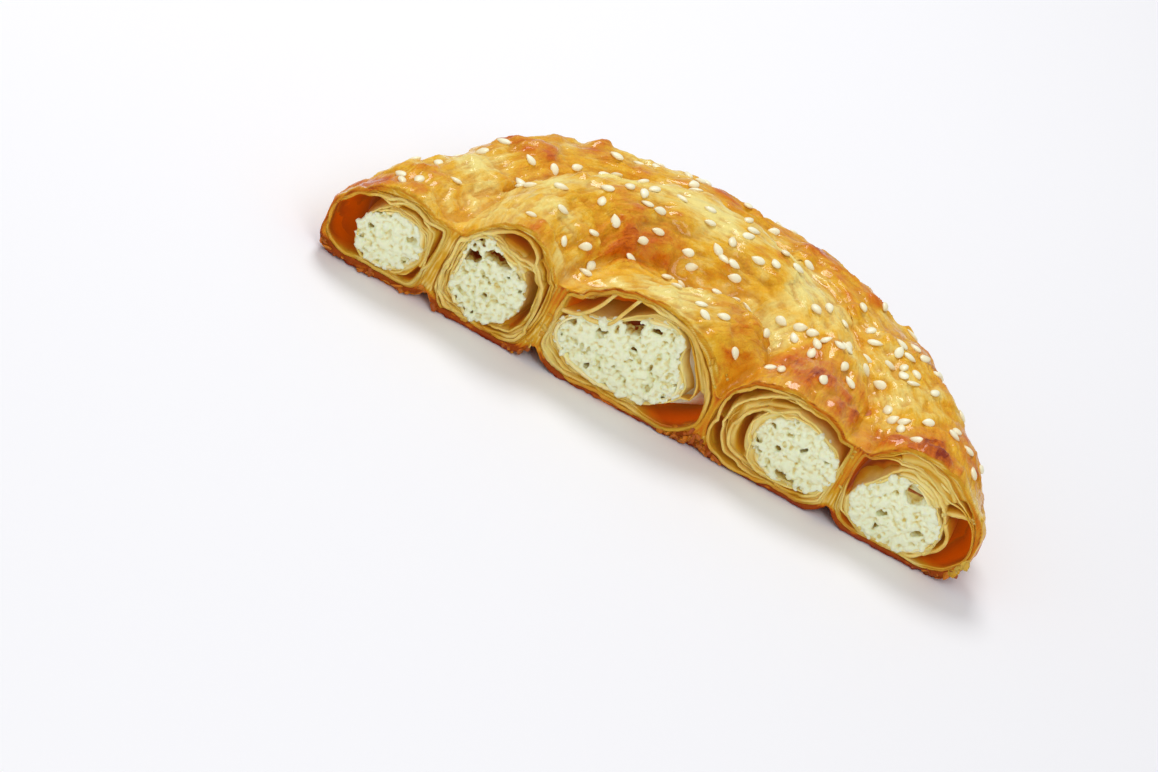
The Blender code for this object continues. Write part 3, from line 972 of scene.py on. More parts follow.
def filling_ring(coil, share, count, grow=0.0, shrink=1.0):
    """One ring of the filling."""
    middle, outward = coil.place(share)
    shift, level, half_width, half_height = coil.filling_size(share)
    centre = middle + outward * shift + Vector((0, 0, level))
    ring = []
    for i in range(count):
        angle = math.tau * i / count
        swell = coil.swell(share, angle) * shrink
        aside = (half_width * swell + grow) * math.cos(angle)
        up = (half_height * swell + grow) * math.sin(angle)
        ring.append(centre + outward * aside + Vector((0, 0, up)))
    return ring


FILLING_AROUND = 40
FILLING_STEP = 2.2 * MM
FILLING_NOSE = 5 * MM
FILLING_NOSE_TURNS = (0.4, 0.8, 1.1, 1.35)


def filling_rope(coil, first_depth, last_depth, grow=0.0):
    """The filling from one depth behind the cut to another, or to the rope's round nose."""
    if coil is INNER:
        last = filling_ring(INNER, 1, FILLING_AROUND, grow)
        first = [INNER.onto_cut(point, first_depth) for point in last]
        steps = round((INNER.stop.y - first_depth) / FILLING_STEP)
        rings = [[a.lerp(b, i / steps) for a, b in zip(first, last)] for i in range(steps + 1)]
        nose = (FILLING_NOSE + grow) / INNER.length
        for turn in FILLING_NOSE_TURNS:
            share = 1 + nose * math.sin(turn)
            rings.append(filling_ring(INNER, share, FILLING_AROUND, grow * math.cos(turn), math.cos(turn)))
    else:
        start, stop = first_depth / coil.length, 1 - last_depth / coil.length
        steps = round(coil.length / FILLING_STEP)
        shares = [blend(start, stop, i / steps) for i in range(steps + 1)]
        rings = [filling_ring(coil, share, FILLING_AROUND, grow) for share in shares]
    return tube_through("rope_" + coil.name, rings)


CUT_CELL = 0.37 * MM
CUT_REACH = 86 * MM
CUT_FOOT = -2 * MM
CUT_TOP = 36 * MM
CUT_AWAY = 40 * MM

# How the cut waves, in millimetres, with the sizes and shifts of the noise
CUT_BEHIND = 0.3
CUT_WAVE = (0.35, 13 * MM, 8.8)
CUT_GRAIN = (0.10, 0.8 * MM, 6.1)
WEB_SET_BACK = 1.7
WEB_SPAN = (1.0, 1.3)
FLARE = 0.22
FLARE_SPAN = (0.95, 1.05)
FLARE_REACH = 13
FLARE_LINE = 0.75 * MM
FLARE_BEND = (3, 4 * MM, 1.5)
CRUST_FINE = (0.9, 1.1 * MM, 3.3)
CRUST_COARSE = (0.7, 2.6 * MM, 9.4)
CRUST_BAND = (1.5 * MM, 4 * MM)
CRUST_SPAN = (0.96, 1.02)


def least_share(x, z):
    """How far out points of the cut lie from the nearest end's middle, as a share of its outline."""
    return np.min([end.outline_share(x, z) for end in OPEN_ENDS.values()], axis=0)


def flare_lines(share, points):
    """Edges of the layers that are pressed together between the ends, as lines round each end."""
    return np.sin(share * FLARE_REACH * MM / FLARE_LINE * math.tau + waves(points, *FLARE_BEND))


def cut_relief(x, z):
    """How far the cut lies behind its plane: waves, the sunken webs, and the torn edges of the layers."""
    spots = np.stack([x, np.zeros(len(x)), z], axis=1)
    share = least_share(x, z)
    sunk = WEB_SET_BACK * smooth_step(share, *WEB_SPAN)
    flare = FLARE * flare_lines(share, spots) * smooth_step(share, *FLARE_SPAN)
    crust = waves(spots, *CRUST_FINE) + waves(spots, *CRUST_COARSE)
    crust *= fading(z, *CRUST_BAND) * smooth_step(share, *CRUST_SPAN)
    return (waves(spots, *CUT_WAVE) + sunk + flare + waves(spots, *CUT_GRAIN) + crust + CUT_BEHIND) * MM


def front_cutter():
    """Takes away everything before the cut, which isn't quite flat."""
    across, up = round(2 * CUT_REACH / CUT_CELL), round(CUT_TOP / CUT_CELL)

    def point_at(share_across, share_up):
        return blend(-CUT_REACH, CUT_REACH, share_across), 0, blend(CUT_FOOT, CUT_TOP, share_up)

    made = grid("before_cut", across, up, point_at)
    points = corners(made)
    points[:, 1] = cut_relief(points[:, 0], points[:, 2])
    move_corners(made, points)
    push_out(made, (0, -CUT_AWAY, 0))
    return made


def push_out(piece, way):
    """Makes a flat piece a block by pushing it out along a way."""
    edit_whole(piece, (bpy.ops.mesh.extrude_region_move, {"TRANSFORM_OT_translate": {"value": way}}))


BASE_CELLS = (86, 55)
BASE_FROM = -20 * MM
BASE_TO = 90 * MM
BASE_AWAY = 20 * MM
BASE_UNEVEN = (0.28 * MM, 6 * MM, 1.7)
BASE_HOLLOW_SHARE = 0.2


def base_cutter():
    """Takes away everything under the base, which is slightly uneven."""
    height, size, shift = BASE_UNEVEN

    def point_at(share_across, share_along):
        x = blend(-CUT_REACH, CUT_REACH, share_across)
        y = blend(BASE_FROM, BASE_TO, share_along)
        return x, y, height * max(0.0, noise.noise((x / size, y / size, shift)) + BASE_HOLLOW_SHARE)

    made = grid("under_base", *BASE_CELLS, point_at)
    push_out(made, (0, 0, -BASE_AWAY))
    return made


# Patches of the skin that the oven browned most or least: x, y and size in millimetres, and how much
BROWNED = (
    (-78, 6, 9, 0.40), (-68, 22, 9, 0.20), (-50, 44, 9, 0.25), (-32, 60, 9, 0.25), (-8, 72, 8, 0.15),
    (-36, 2, 7, 0.20), (-22, 22, 9, 0.42), (-13, 32, 8, 0.30), (2, 32, 8, 0.20), (12, 5, 6, 0.32),
    (30, 6, 11, 0.46), (26, 14, 8, 0.30), (58, 3, 9, 0.40), (72, 10, 9, 0.30), (74, 24, 8, 0.20),
    (46, 44, 7, 0.20), (60, 38, 8, 0.15), (30, 58, 7, 0.15),
    (-23, 56, 5, 0.30), (1, 66, 6, 0.25), (10, 66, 6, 0.25), (20, 64, 6, 0.20),
    (-60, 32, 8, -0.25), (-42, 28, 7, -0.20), (-8, 51, 10, -0.52), (12, 51, 9, -0.40), (26, 40, 8, -0.25),
    (20, 24, 6, -0.25), (-6, 12, 7, -0.25), (-52, 14, 7, -0.20), (-26, 44, 7, -0.25), (-39, 11, 6, -0.15),
)

# How far the skin has browned: all over, in patches and spots of noise, on what stands proud, in the
# places above, and at the base. Where three values stand, the last two are the limits of its span.
BROWN_START = 0.30
BROWN_PATCH = (0.25, 12 * MM, 51.0)
BROWN_SPOT = (0.17, 4.6 * MM, 61.0)
BROWN_PROUD = (0.20, 0.3 * MM, 1.6 * MM)
BROWN_PLACED = 0.8
BROWN_BASE = (0.6, 1 * MM, 7 * MM)


def browning_at(points, proud):
    """How far the skin has browned, from 0 to 1."""
    x, y, z = points.T
    value = BROWN_START + waves(points, *BROWN_PATCH) + waves(points, *BROWN_SPOT)
    value += risen(proud, *BROWN_PROUD)
    for spot_x, spot_y, size, amount in BROWNED:
        reach = ((x / MM - spot_x) ** 2 + (y / MM - spot_y) ** 2) / size ** 2
        value += BROWN_PLACED * amount * np.exp(-reach)
    return value + fallen(z, *BROWN_BASE)


SKIN_SMOOTHING = 5
RELIEF_RISES = (1 * MM, 7 * MM)
RELIEF_FACES = (-0.5, 0.2)
CALMED_AT_CUT = 0.6
CALMED_REACH = 3 * MM
TOP_EASED_FROM = 30.6 * MM
TOP_EASED_BY = 1.7 * MM


def whole_skin():
    """The uncut skin, on which the ends are measured and the seeds are laid. It is made once."""
    if "whole_skin" in bpy.data.objects:
        return bpy.data.objects["whole_skin"]
    skin = join([coil_skin(OUTER), coil_skin(MIDDLE), inner_skin(), web_block()], "whole_skin")
    apply_modifier(skin, "REMESH", mode="VOXEL", voxel_size=sizes().skin_cell, adaptivity=0.0)
    apply_modifier(skin, "SMOOTH", factor=0.5, iterations=SKIN_SMOOTHING)
    points, outward = corners(skin), normals(skin)
    proud = fine_relief(points, *along_rolls(points))
    fade = smooth_step(points[:, 2], *RELIEF_RISES) * smooth_step(outward[:, 2], *RELIEF_FACES)
    keep = 1 - CALMED_AT_CUT * fading(points[:, 1], 0, CALMED_REACH)
    points = points + outward * (proud * fade * keep)[:, None]
    over = np.maximum(points[:, 2] - TOP_EASED_FROM, 0) / TOP_EASED_BY
    points[:, 2] = np.minimum(points[:, 2], TOP_EASED_FROM) + TOP_EASED_BY * np.tanh(over)
    move_corners(skin, points)
    skin.hide_render = True
    tree = BVHTree.FromObject(skin, bpy.context.evaluated_depsgraph_get())
    for end in OPEN_ENDS.values():
        end.measure(tree)
    return skin


ROPE_BEFORE = -3 * MM
ROPE_CLEARANCE = 0.25 * MM
# Painted shade in the skin's folds: the span of hollowness that brings it in, and over how many rounds the
# hollowness is eased
FOLD_SHADE_SPAN = (0.02 * MM, 0.22 * MM)
FOLD_SHADE_ROUNDS = 14
INSIDE_SPAN = (0.05 * MM, 0.3 * MM)
GLOW_SPAN = (1.5 * MM, 7 * MM)
BASE_CRUST = 0.4 * MM


class PASTRY_OT_skin(bpy.types.Operator):
    """Makes the baked skin: the coils joined into one, with their relief, the cut and the open ends"""

    bl_idname = "pastry.make_skin"
    bl_label = "Baked skin"

    def execute(self, context):
        whole = whole_skin()
        skin = whole.copy()
        skin.data = whole.data.copy()
        skin.hide_render = False
        context.scene.collection.objects.link(skin)
        cutters = [front_cutter(), base_cutter()]
        cutters += [hollow_cutter(end) for end in OPEN_ENDS.values()]
        cutters += [filling_rope(coil, ROPE_BEFORE, ROPE_BEFORE, grow=ROPE_CLEARANCE) for coil in ROLLS]
        for cutter in cutters:
            combine(skin, cutter, "DIFFERENCE")
        points = corners(skin)
        along, across, number, sure = along_rolls(points)
        proud = fine_relief(points, along, across, number, sure) + relief_at(points, along, across)
        under = distance_to(whole, points)
        inside = smooth_step(under, *INSIDE_SPAN) * (points[:, 2] > BASE_CRUST)
        facts = {
            "browning": browning_at(points, proud), "inside": inside,
            # groove: painted shade in the skin's folds
            "groove": smooth_step(hollowness(skin, FOLD_SHADE_ROUNDS), *FOLD_SHADE_SPAN),
            # warmth: the dough's own tone, with painted shade deep in the hollows
            "sure": sure, "along": along, "across": across, "warmth": skin_warmth(points, under),
            "glow": inside * smooth_step(points[:, 1], *GLOW_SPAN),
        }
        for name, values in facts.items():
            set_attribute(skin, name, values)
        finish_piece(skin, "baked_skin", skin_finish(), ["pastry"])
        return {"FINISHED"}


def distance_to(piece, points):
    """How far each point lies from the surface of a piece."""
    tree = BVHTree.FromObject(piece, bpy.context.evaluated_depsgraph_get())
    return np.array([tree.find_nearest(Vector(point))[3] for point in points.tolist()])


NEAR_RIM = 1.1
REACHES_WALL = 0.92
POCKET_EDGE = (0.7, 1.1)


def beside_pocket(x, z):
    """Where the cut's rim bounds a pocket that reaches the wall, from 0 to 1."""
    found = np.zeros(len(x))
    for end in OPEN_ENDS.values():
        angles = np.arctan2(z - end.z, x - end.x)
        near = end.outline_share(x, z) < NEAR_RIM
        for direction, spread, _, high in ENDS[end.name]["pockets"]:
            close = fading(np.abs(turn_from(angles, direction, spread)), *POCKET_EDGE)
            found = np.maximum(found, near * close * (high > REACHES_WALL))
    return found


# How deep the colour of the dough is: all over, and what is added on the webs between the ends, in
# their lines, far behind the cut, just under the skin, at the base and beside pockets. What is added far
# behind the cut is painted shade in the hollows; on the sunken webs it is partly their own tone and
# partly painted shade
CUT_FRONT = 4 * MM
DOUGH_WARMTH = 0.30
WEB_WARMTH = (0.13, 1.0, 1.25)
LINE_WARMTH = 0.17
DEEP_SHADE = (0.4, 2 * MM, 9 * MM)
RIM_WARMTH = (0.22, 0.3 * MM, 1.1 * MM)
BASE_WARMTH = 0.85
BASE_SPECKS = (0.5, 1.6 * MM, 14.0)
BASE_SPAN = (1.6 * MM, 4.5 * MM)
POCKET_WARMTH = 0.3
DOUGH_PATCH = (0.18, 3 * MM, 71.0)


def skin_warmth(points, under):
    """How deep the colour of the dough is on the cut and in the hollows, with painted shade deeper behind
    the cut.
    """
    x, y, z = points.T
    share = least_share(x, z)
    front = y < CUT_FRONT
    on_cut = risen(share, *WEB_WARMTH) + POCKET_WARMTH * beside_pocket(x, z)
    on_cut -= LINE_WARMTH * flare_lines(share, points)
    at_base = (BASE_WARMTH + waves(points, *BASE_SPECKS)) * fading(z, *BASE_SPAN)
    value = DOUGH_WARMTH + on_cut * front + at_base + waves(points, *DOUGH_PATCH)
    # Painted shade: the dough darkens further behind the cut.
    return value + risen(y, *DEEP_SHADE) + fallen(under, *RIM_WARMTH)


def skin_finish():
    tone = colours()
    finish = Finish("baked_pastry", Specular_IOR_Level=0.12, Coat_Roughness=0.1, Coat_IOR=1.38)
    patch_share, speck_share, streak_share = BROWN_MIX
    patches = finish.noise(*SKIN_PATCHES)
    specks = finish.around_zero(finish.noise(*SKIN_SPECKS), speck_share)
    line = finish.vector(finish.stored("across"), finish.stored("along") * STREAK_STRETCH)
    streaks = (finish.noise(*SKIN_STREAKS, line) - 0.5) * finish.stored("sure")
    done = finish.stored("browning") + finish.around_zero(patches, patch_share) + specks
    browns = (tone.pale, tone.golden, tone.amber, tone.brown)
    brown = finish.ramp(done + streaks * streak_share, BROWN_STOPS, browns)
    # The folds get painted shade in the groove tone.
    baked = finish.mix(finish.stored("groove") * FOLD_SHADE_MIX, brown, tone.groove)
    inside = finish.stored("inside")
    finish.feed("Base Color", finish.mix(inside, baked, dough_colour(finish)))
    finish.feed("Roughness", finish.span(patches, *SKIN_ROUGHNESS))
    finish.feed("Coat Weight", finish.span(finish.noise(*SKIN_GLAZE), *GLAZE_WEIGHT) * (1 - inside))
    pore_height, streak_height = SKIN_BUMP_MIX
    height = finish.noise(*SKIN_GRAIN) + finish.noise(*SKIN_PORES) * pore_height + streaks * streak_height
    finish.feed("Normal", finish.bump(height, *SKIN_BUMP))
    finish.lit_through(inside)
    return finish.material


def dough_colour(finish):
    """The colour of bare dough, from cream through warm yellow to the brown of the base, which is also the
    painted shade at a hollow's back.
    """
    tone = colours()
    warmth_share, least, patch_share = DOUGH_MIX
    patches = finish.around_zero(finish.noise(*DOUGH_PATCHES), patch_share)
    value = finish.stored("warmth") * warmth_share + least + patches
    tones = (tone.dough_pale, tone.dough, tone.dough_warm, tone.dough_deep, tone.dough_dark)
    return finish.ramp(value, DOUGH_STOPS, tones)


# A pocket's own depth: least, and what is added for its width, and how blunt its sides are
POCKET_LEAST = 9 * MM
POCKET_MORE = 12 * MM
POCKET_BLUNT = 0.7


def pushed_aside(end, angle, base, share, depth):
    """Where a sheet that lies at this share of the wall runs, once the pockets have pushed it aside.

    Its base, the share that it would lie at without waves, says on which side of a pocket it stays.
    """
    opened = 0.0
    for direction, spread, low, high in ENDS[end.name]["pockets"]:
        turn = turn_from(angle, direction, spread)
        if abs(turn) >= 1:
            continue
        pocket_depth = POCKET_LEAST + POCKET_MORE * (high - low)
        room = fading(depth, 0.1 * pocket_depth, pocket_depth)
        middle = (low + high) / 2
        half = (high - low) / 2 * math.cos(math.pi / 2 * turn) ** POCKET_BLUNT * room
        opened = max(opened, half * 2)
        if base < middle:
            share = min(share, middle) * (middle - half) / middle
        else:
            share = 1 - (1 - max(share, middle)) * (1 - middle - half) / max(1e-6, 1 - middle)
    return share, opened


# The sheet against the filling: its share of the wall, thickness, colour, the painted shade it takes
# deep in an open pocket, and how far back it lies
COAT_SHARE = 0.05
COAT_THICKNESS = 1.9
COAT_PALENESS = 0.2
COAT_SHADE = (0.42, 3 * MM, 8 * MM)
COAT_SET_BACK = 5 * MM

# The other sheets: how far they stray from even shares, their front edge, thickness and waves.
# A wave is its height, how much finer it is than the turn, and how fast it changes with the depth.
LAYER_AROUND = 150
LAYER_ALONG = 15
LAYER_DEPTH = 17 * MM
LAYER_STRAY = 0.4
LAYER_RECESS = (-0.2 * MM, 1.3 * MM)
LAYER_THICKNESS = (0.8, 1.9)
LAYER_FLUTTER = 0.85
FLUTTER_FROM_FILLING = 5
LAYER_SHARES = (0.02, 0.985)
LAYER_WAVES = ((1.7, 1, 120), (0.45, 3.5, 200))
RAGGED_EDGE = ((1.1 * MM, 2), (0.25 * MM, 12))
FRONT_GATHERS = 1.6
ROUND_NOISE = 1.7
NOISE_SEEDS = 90


def noise_round(angle, level, finer=1, aside=0):
    """Noise that closes after a full turn."""
    x, y = ROUND_NOISE * math.cos(angle) * finer, ROUND_NOISE * math.sin(angle) * finer
    return noise.noise((x + aside, y - aside, level))


# How deep the colour of a sheet is: at its front, further back and more so near the wall, in a hollow,
# at the wall itself, and below. What is added further back and in a hollow is painted shade. Where it
# glows: by how open the pocket is, the share, and the depth.
SHEET_FRONT = 0.09
SHEET_SHADE_BEHIND = (0.2, 0.3)
SHEET_AT_WALL = 0.14
SHEET_BELOW = 0.3
SHEET_OUTER_SPAN = (0.2, 0.6)
SHEET_SHADE_BEHIND_SPAN = (0.5 * MM, 8 * MM)
HOLLOW_SHADE_SHARE_SPAN = (0.14, 0.6)
HOLLOW_SHADE_DEPTH_SPAN = (-1 * MM, 2 * MM)
WALL_SPAN = (0.75, 1.0)
BELOW_SPAN = (0.5, 1.0)
GLOW_OPENED_SPAN = (0.15, 0.7)
GLOW_SHARE_SPAN = (0.4, 0.9)
GLOW_DEPTH_SPAN = (0.5 * MM, 5 * MM)


def layer_warmth(share, opened, depth, up):
    """How deep the colour of a sheet is: deeper near the wall and near the base, and with painted shade in
    hollows and further behind the cut.
    """
    # Painted shade: sheets darken further behind the cut and inside hollows.
    behind = blend(SHEET_SHADE_BEHIND[0], sum(SHEET_SHADE_BEHIND), smooth_step(share, *SHEET_OUTER_SPAN))
    value = SHEET_FRONT + behind * smooth_step(depth, *SHEET_SHADE_BEHIND_SPAN)
    value += opened * smooth_step(share, *HOLLOW_SHADE_SHARE_SPAN) * smooth_step(depth, *HOLLOW_SHADE_DEPTH_SPAN)
    value += SHEET_AT_WALL * smooth_step(share, *WALL_SPAN)
    return value + SHEET_BELOW * smooth_step(-up, *BELOW_SPAN) * share


def layer_glow(share, opened, depth):
    """How much light from behind a sheet catches: most at the back of an open pocket."""
    in_pocket = smooth_step(opened, *GLOW_OPENED_SPAN) * smooth_step(share, *GLOW_SHARE_SPAN)
    return in_pocket * smooth_step(depth, *GLOW_DEPTH_SPAN)


def solid_sheet(made, warmth, glow, thickness):
    """Gives a sheet its colour, its glow and its thickness."""
    set_attribute(made, "glow", glow)
    set_attribute(made, "warmth", warmth)
    edit_whole(made, (bpy.ops.mesh.remove_doubles, {"threshold": 2 * SEAM}))
    apply_modifier(made, "SOLIDIFY", thickness=sizes().layer_thickness * thickness, offset=0)
    return made


def make_layer(end, number, count, draw):
    """One sheet of dough round the filling, wavy, with a ragged front edge."""
    base = (number + 0.5 + draw.uniform(-LAYER_STRAY, LAYER_STRAY)) / count if number else COAT_SHARE
    recess = draw.uniform(*LAYER_RECESS)
    wave_seed = draw.uniform(0, NOISE_SEEDS)
    flutter = LAYER_FLUTTER / count * min(1, base * FLUTTER_FROM_FILLING)
    facts = []

    def point_at(around, along):
        angle = math.tau * around
        ragged = sum(height * noise_round(angle, wave_seed, finer) for height, finer in RAGGED_EDGE)
        depth = blend(recess + ragged, LAYER_DEPTH, along ** FRONT_GATHERS)
        wave = sum(
            height * noise_round(angle, wave_seed + depth * change, finer)
            for height, finer, change in LAYER_WAVES
        )
        share = min(LAYER_SHARES[1], max(LAYER_SHARES[0], base + flutter * wave))
        share, opened = pushed_aside(end, angle, base, share, max(0.0, depth))
        if not number:
            depth += COAT_SET_BACK * opened * (1 - along)
        facts.append((share, opened, max(0.0, depth), math.sin(angle)))
        return end.point(angle, share, depth)

    made = grid(f"sheet_{end.name}_{number}", LAYER_AROUND, LAYER_ALONG, point_at)
    share, opened, depth, up = np.array(facts).T
    warmth = layer_warmth(share, opened, depth, up)
    thickness = COAT_THICKNESS
    if number:
        thickness = draw.uniform(*LAYER_THICKNESS)
    else:
        # Deep in an open pocket the sheet against the filling takes painted shade; elsewhere it is paler.
        warmth += opened * risen(depth, *COAT_SHADE) - COAT_PALENESS * (1 - opened)
    return solid_sheet(made, warmth, layer_glow(share, opened, depth), thickness)


# The dough between the sheets: its depth, waves and grooves, and how deep and blunt the pockets are
GROUND_CELLS = (200, 70)
GROUND_LEVEL = 1.5 * MM
GROUND_WAVE = 0.9 * MM
GROUND_GROOVE = 0.3 * MM
GROUND_LINES = 24
GROUND_BEND = 5
GROUND_WARMTH = 0.2
GROOVE_WARMTH = 0.12
GROUND_PALENESS = (0.34, 0.05, 0.35)
POCKET_DEPTH = 15 * MM
POCKET_ROUND = 0.6


def pocket_share(end, angle, along):
    """How open the ground is at a place: 0 where it is dough and up to 1 in a wide pocket."""
    opened = 0.0
    for direction, spread, low, high in ENDS[end.name]["pockets"]:
        turn = turn_from(angle, direction, spread)
        off = (along - (low + high) / 2) / ((high - low) / 2)
        if max(abs(turn), abs(off)) < 1:
            room = (math.cos(math.pi / 2 * turn) * (1 - off ** 2)) ** POCKET_ROUND
            opened = max(opened, math.sqrt(high - low) * room)
    return opened


def make_ground(end, draw):
    """The dough between the sheets: pressed together in grooves, and open where the pockets are."""
    wave_seed = draw.uniform(0, NOISE_SEEDS)
    facts = []

    def point_at(around, along):
        angle = math.tau * around
        opened = pocket_share(end, angle, along)
        wave = noise_round(angle, wave_seed, aside=along)
        groove = math.sin(along * GROUND_LINES + GROUND_BEND * wave)
        depth = blend(GROUND_LEVEL + GROUND_WAVE * wave + GROUND_GROOVE * groove, POCKET_DEPTH, opened)
        facts.append((along, opened, depth, math.sin(angle), groove))
        return end.point(angle, along, depth)

    made = grid("ground_" + end.name, *GROUND_CELLS, point_at)
    share, opened, depth, up, groove = np.array(facts).T
    closed = 1 - opened
    warmth = layer_warmth(share, opened, depth, up) + GROUND_WARMTH + GROOVE_WARMTH * groove * closed
    warmth -= closed * fallen(share, *GROUND_PALENESS)
    return solid_sheet(made, warmth, layer_glow(share, opened, depth), 1.0)


# A curtain: how deep it reaches, where its front edge lies and how ragged it is, how it sways, with how
# fine along its edge and in depth, and as what its colour is worked out: its share of the wall, how open
# it is there, and how far up
CURTAIN_DEPTH = 11 * MM
CURTAIN_CELLS = 12
CURTAIN_STEPS = 10
CURTAIN_FRONT = 0.4 * MM
CURTAIN_RAGGED = (0.8 * MM, 6)
CURTAIN_SWAY = (1.2 * MM, 3, 160)
CURTAIN_RISE = 0.1
CURTAIN_LIFT = 0.6
CURTAIN_PLACE = (0.5, 0.35, 0.0)
CURTAIN_PALENESS = 0.06
CURTAIN_THICKNESS = 2.2


def make_curtain(end, points, draw):
    """A sheet that hangs across a hollow, running back from its edge on the cut."""
    edge = curve_through(points, CURTAIN_STEPS)
    ragged, ragged_finer = CURTAIN_RAGGED
    swaying, sway_finer, sway_deeper = CURTAIN_SWAY
    wave_seed = draw.uniform(0, NOISE_SEEDS)
    lean = INNER_LEAN if end.coil is INNER else 0.0
    depths = []

    def point_at(around, along):
        spot = edge[round(around * (len(edge) - 1))] * MM
        front = CURTAIN_FRONT + ragged * noise.noise((around * ragged_finer, 0.5, wave_seed))
        depth = blend(front, CURTAIN_DEPTH, along)
        sway = swaying * along * noise.noise((around * sway_finer, depth * sway_deeper, wave_seed))
        depths.append(max(0.0, depth))
        x = spot.x + lean * depth + sway
        z = spot.y + CURTAIN_RISE * depth + CURTAIN_LIFT * sway
        return end.kept_inside(Vector((x, depth, z)))

    made = grid("curtain_" + end.name, len(edge) - 1, CURTAIN_CELLS, point_at)
    share, opened, up = CURTAIN_PLACE
    warmth = layer_warmth(share, opened, np.array(depths), up) - CURTAIN_PALENESS
    return solid_sheet(made, warmth, np.zeros(len(depths)), CURTAIN_THICKNESS)


LAYER_DRAW = 3


class PASTRY_OT_layers(bpy.types.Operator):
    """Makes the thin sheets of dough that show round the filling in each open end"""

    bl_idname = "pastry.make_layers"
    bl_label = "Thin layers"

    def execute(self, context):
        draw = random.Random(LAYER_DRAW)
        finish = layer_finish()
        whole_skin()
        for end in OPEN_ENDS.values():
            count = sizes().layer_count
            sheets = [make_layer(end, number, count, draw) for number in range(count)]
            sheets += [make_curtain(end, points, draw) for points in ENDS[end.name]["curtains"]]
            sheets.append(make_ground(end, draw))
            name = "layers_" + end.name
            finish_piece(join(sheets, name), name, finish)
        return {"FINISHED"}


def soft_finish(name, radius):
    """A material that light enters a little way, further for red than for blue."""
    finish = Finish(name, Subsurface_Weight=0.3, Subsurface_Scale=2 * MM, IOR=1.4)
    finish.shader.inputs["Subsurface Radius"].default_value = radius
    return finish


def layer_finish():
    """The material of the sheets, which the flakes have too. It is made once."""
    if "dough_layers" in bpy.data.materials:
        return bpy.data.materials["dough_layers"]
    finish = soft_finish("dough_layers", (1.0, 0.5, 0.15))
    finish.feed("Base Color", dough_colour(finish))
    finish.feed("Roughness", finish.span(finish.noise(*DOUGH_PATCHES), *DOUGH_ROUGHNESS))
    finish.feed("Normal", finish.bump(finish.noise(*DOUGH_GRAIN), *DOUGH_BUMP))
    finish.lit_through(1.0)
    return finish.material


# The broken cheese: how deep it is, and its crumbs, with their sizes, how far apart they lie, how many
# are tried, how far out, squashed and proud they may be, how rough, how their gap goes with their size,
# and where there are none
PLUG_DEPTH = 6 * MM
CRUMB_SIZES = (0.38 * MM, 1.2 * MM)
CRUMB_SPREAD = 0.72 * MM
CRUMB_TRIES = 3800
CRUMB_REACH = 1.07
CRUMB_SQUASH = (0.7, 1.35)
CRUMB_PROUD = (-0.5 * MM, 0.6 * MM)
CRUMB_ROUGH = (0.4, 2, 9)
CRUMB_GAP = (0.6, 0.5)
CRUMB_FOREMOST = 0.1 * MM
CRUMBS_MISSING = (1.3 * MM, -0.62)
PIT_CRUMBS = (0.5, 0.3)

# The core behind the crumbs: how far behind, its cells, and the shares of the filling it spans
CORE_BEHIND = 0.45 * MM
CORE_AROUND = 90
CORE_STEPS = 22
CORE_SHARES = (0.02, 0.97)
CORE_DEEPEST = 0.9 * PLUG_DEPTH

# How the cheese has broken, in millimetres: the mean depth, and the height and size of its waves
BROKEN_MEAN = 1.2
BROKEN_COARSE = (0.8, 4.2)
BROKEN_FINE = (0.9, 1.9)
PIT_RIPPLE = (0.25, 0.9)
CHEESE_GRAIN = ((0.15 * MM, 0.75 * MM, 5.5), (0.08 * MM, 0.4 * MM, 9.5))

# Hollows in the broken cheese: x and z on the cut, half width, half height and depth in millimetres
CHEESE_HOLLOWS = {
    "outer_left": (
        (-61.8, 12.6, 1.4, 1.1, 2.2), (-70.8, 10.8, 1.0, 0.7, 1.4), (-66, 15.2, 0.9, 0.6, 1.3),
        (-64.5, 8.2, 0.9, 0.5, 1.2), (-60.8, 7.2, 0.8, 1.3, 2.6),
    ),
    "middle_left": (
        (-42.2, 18.4, 3.6, 1.7, 4.2), (-47.9, 15.7, 1.9, 1.6, 4.0), (-38.4, 15.7, 0.9, 0.8, 1.6),
        (-41.5, 8.8, 0.8, 0.6, 1.4), (-36.9, 9.2, 1.0, 0.5, 1.4), (-43.3, 4.0, 1.6, 0.7, 3.4),
    ),
    "inner": (
        (-15.7, 14.9, 1.5, 1.1, 2.2), (-4.9, 9.4, 0.7, 1.5, 2.8), (-1.5, 12.7, 0.6, 1.2, 1.8),
        (-10, 19.8, 3.0, 2.2, 6.0), (-4.6, 20.8, 1.4, 0.9, 2.4), (-7, 14.6, 1.0, 0.7, 1.6),
        (-15, 5.6, 1.2, 0.7, 2.2), (-21.5, 13.5, 1.1, 0.7, 1.8),
    ),
    "middle_right": (
        (31.4, 15.4, 0.9, 0.7, 1.5), (31.7, 10, 1.0, 0.9, 1.8), (36.8, 12.9, 1.3, 1.0, 2.0),
        (42.1, 13.5, 1.1, 0.8, 1.8), (36, 4.4, 2.8, 1.0, 4.0),
    ),
    "outer_right": (
        (63.4, 16.2, 2.5, 2.6, 4.6), (59.5, 14, 0.9, 1.1, 2.0), (58.6, 8.3, 1.8, 0.9, 3.4),
        (58.7, 4.6, 0.8, 1.3, 2.8), (67.6, 8, 1.3, 1.0, 2.0),
    ),
}


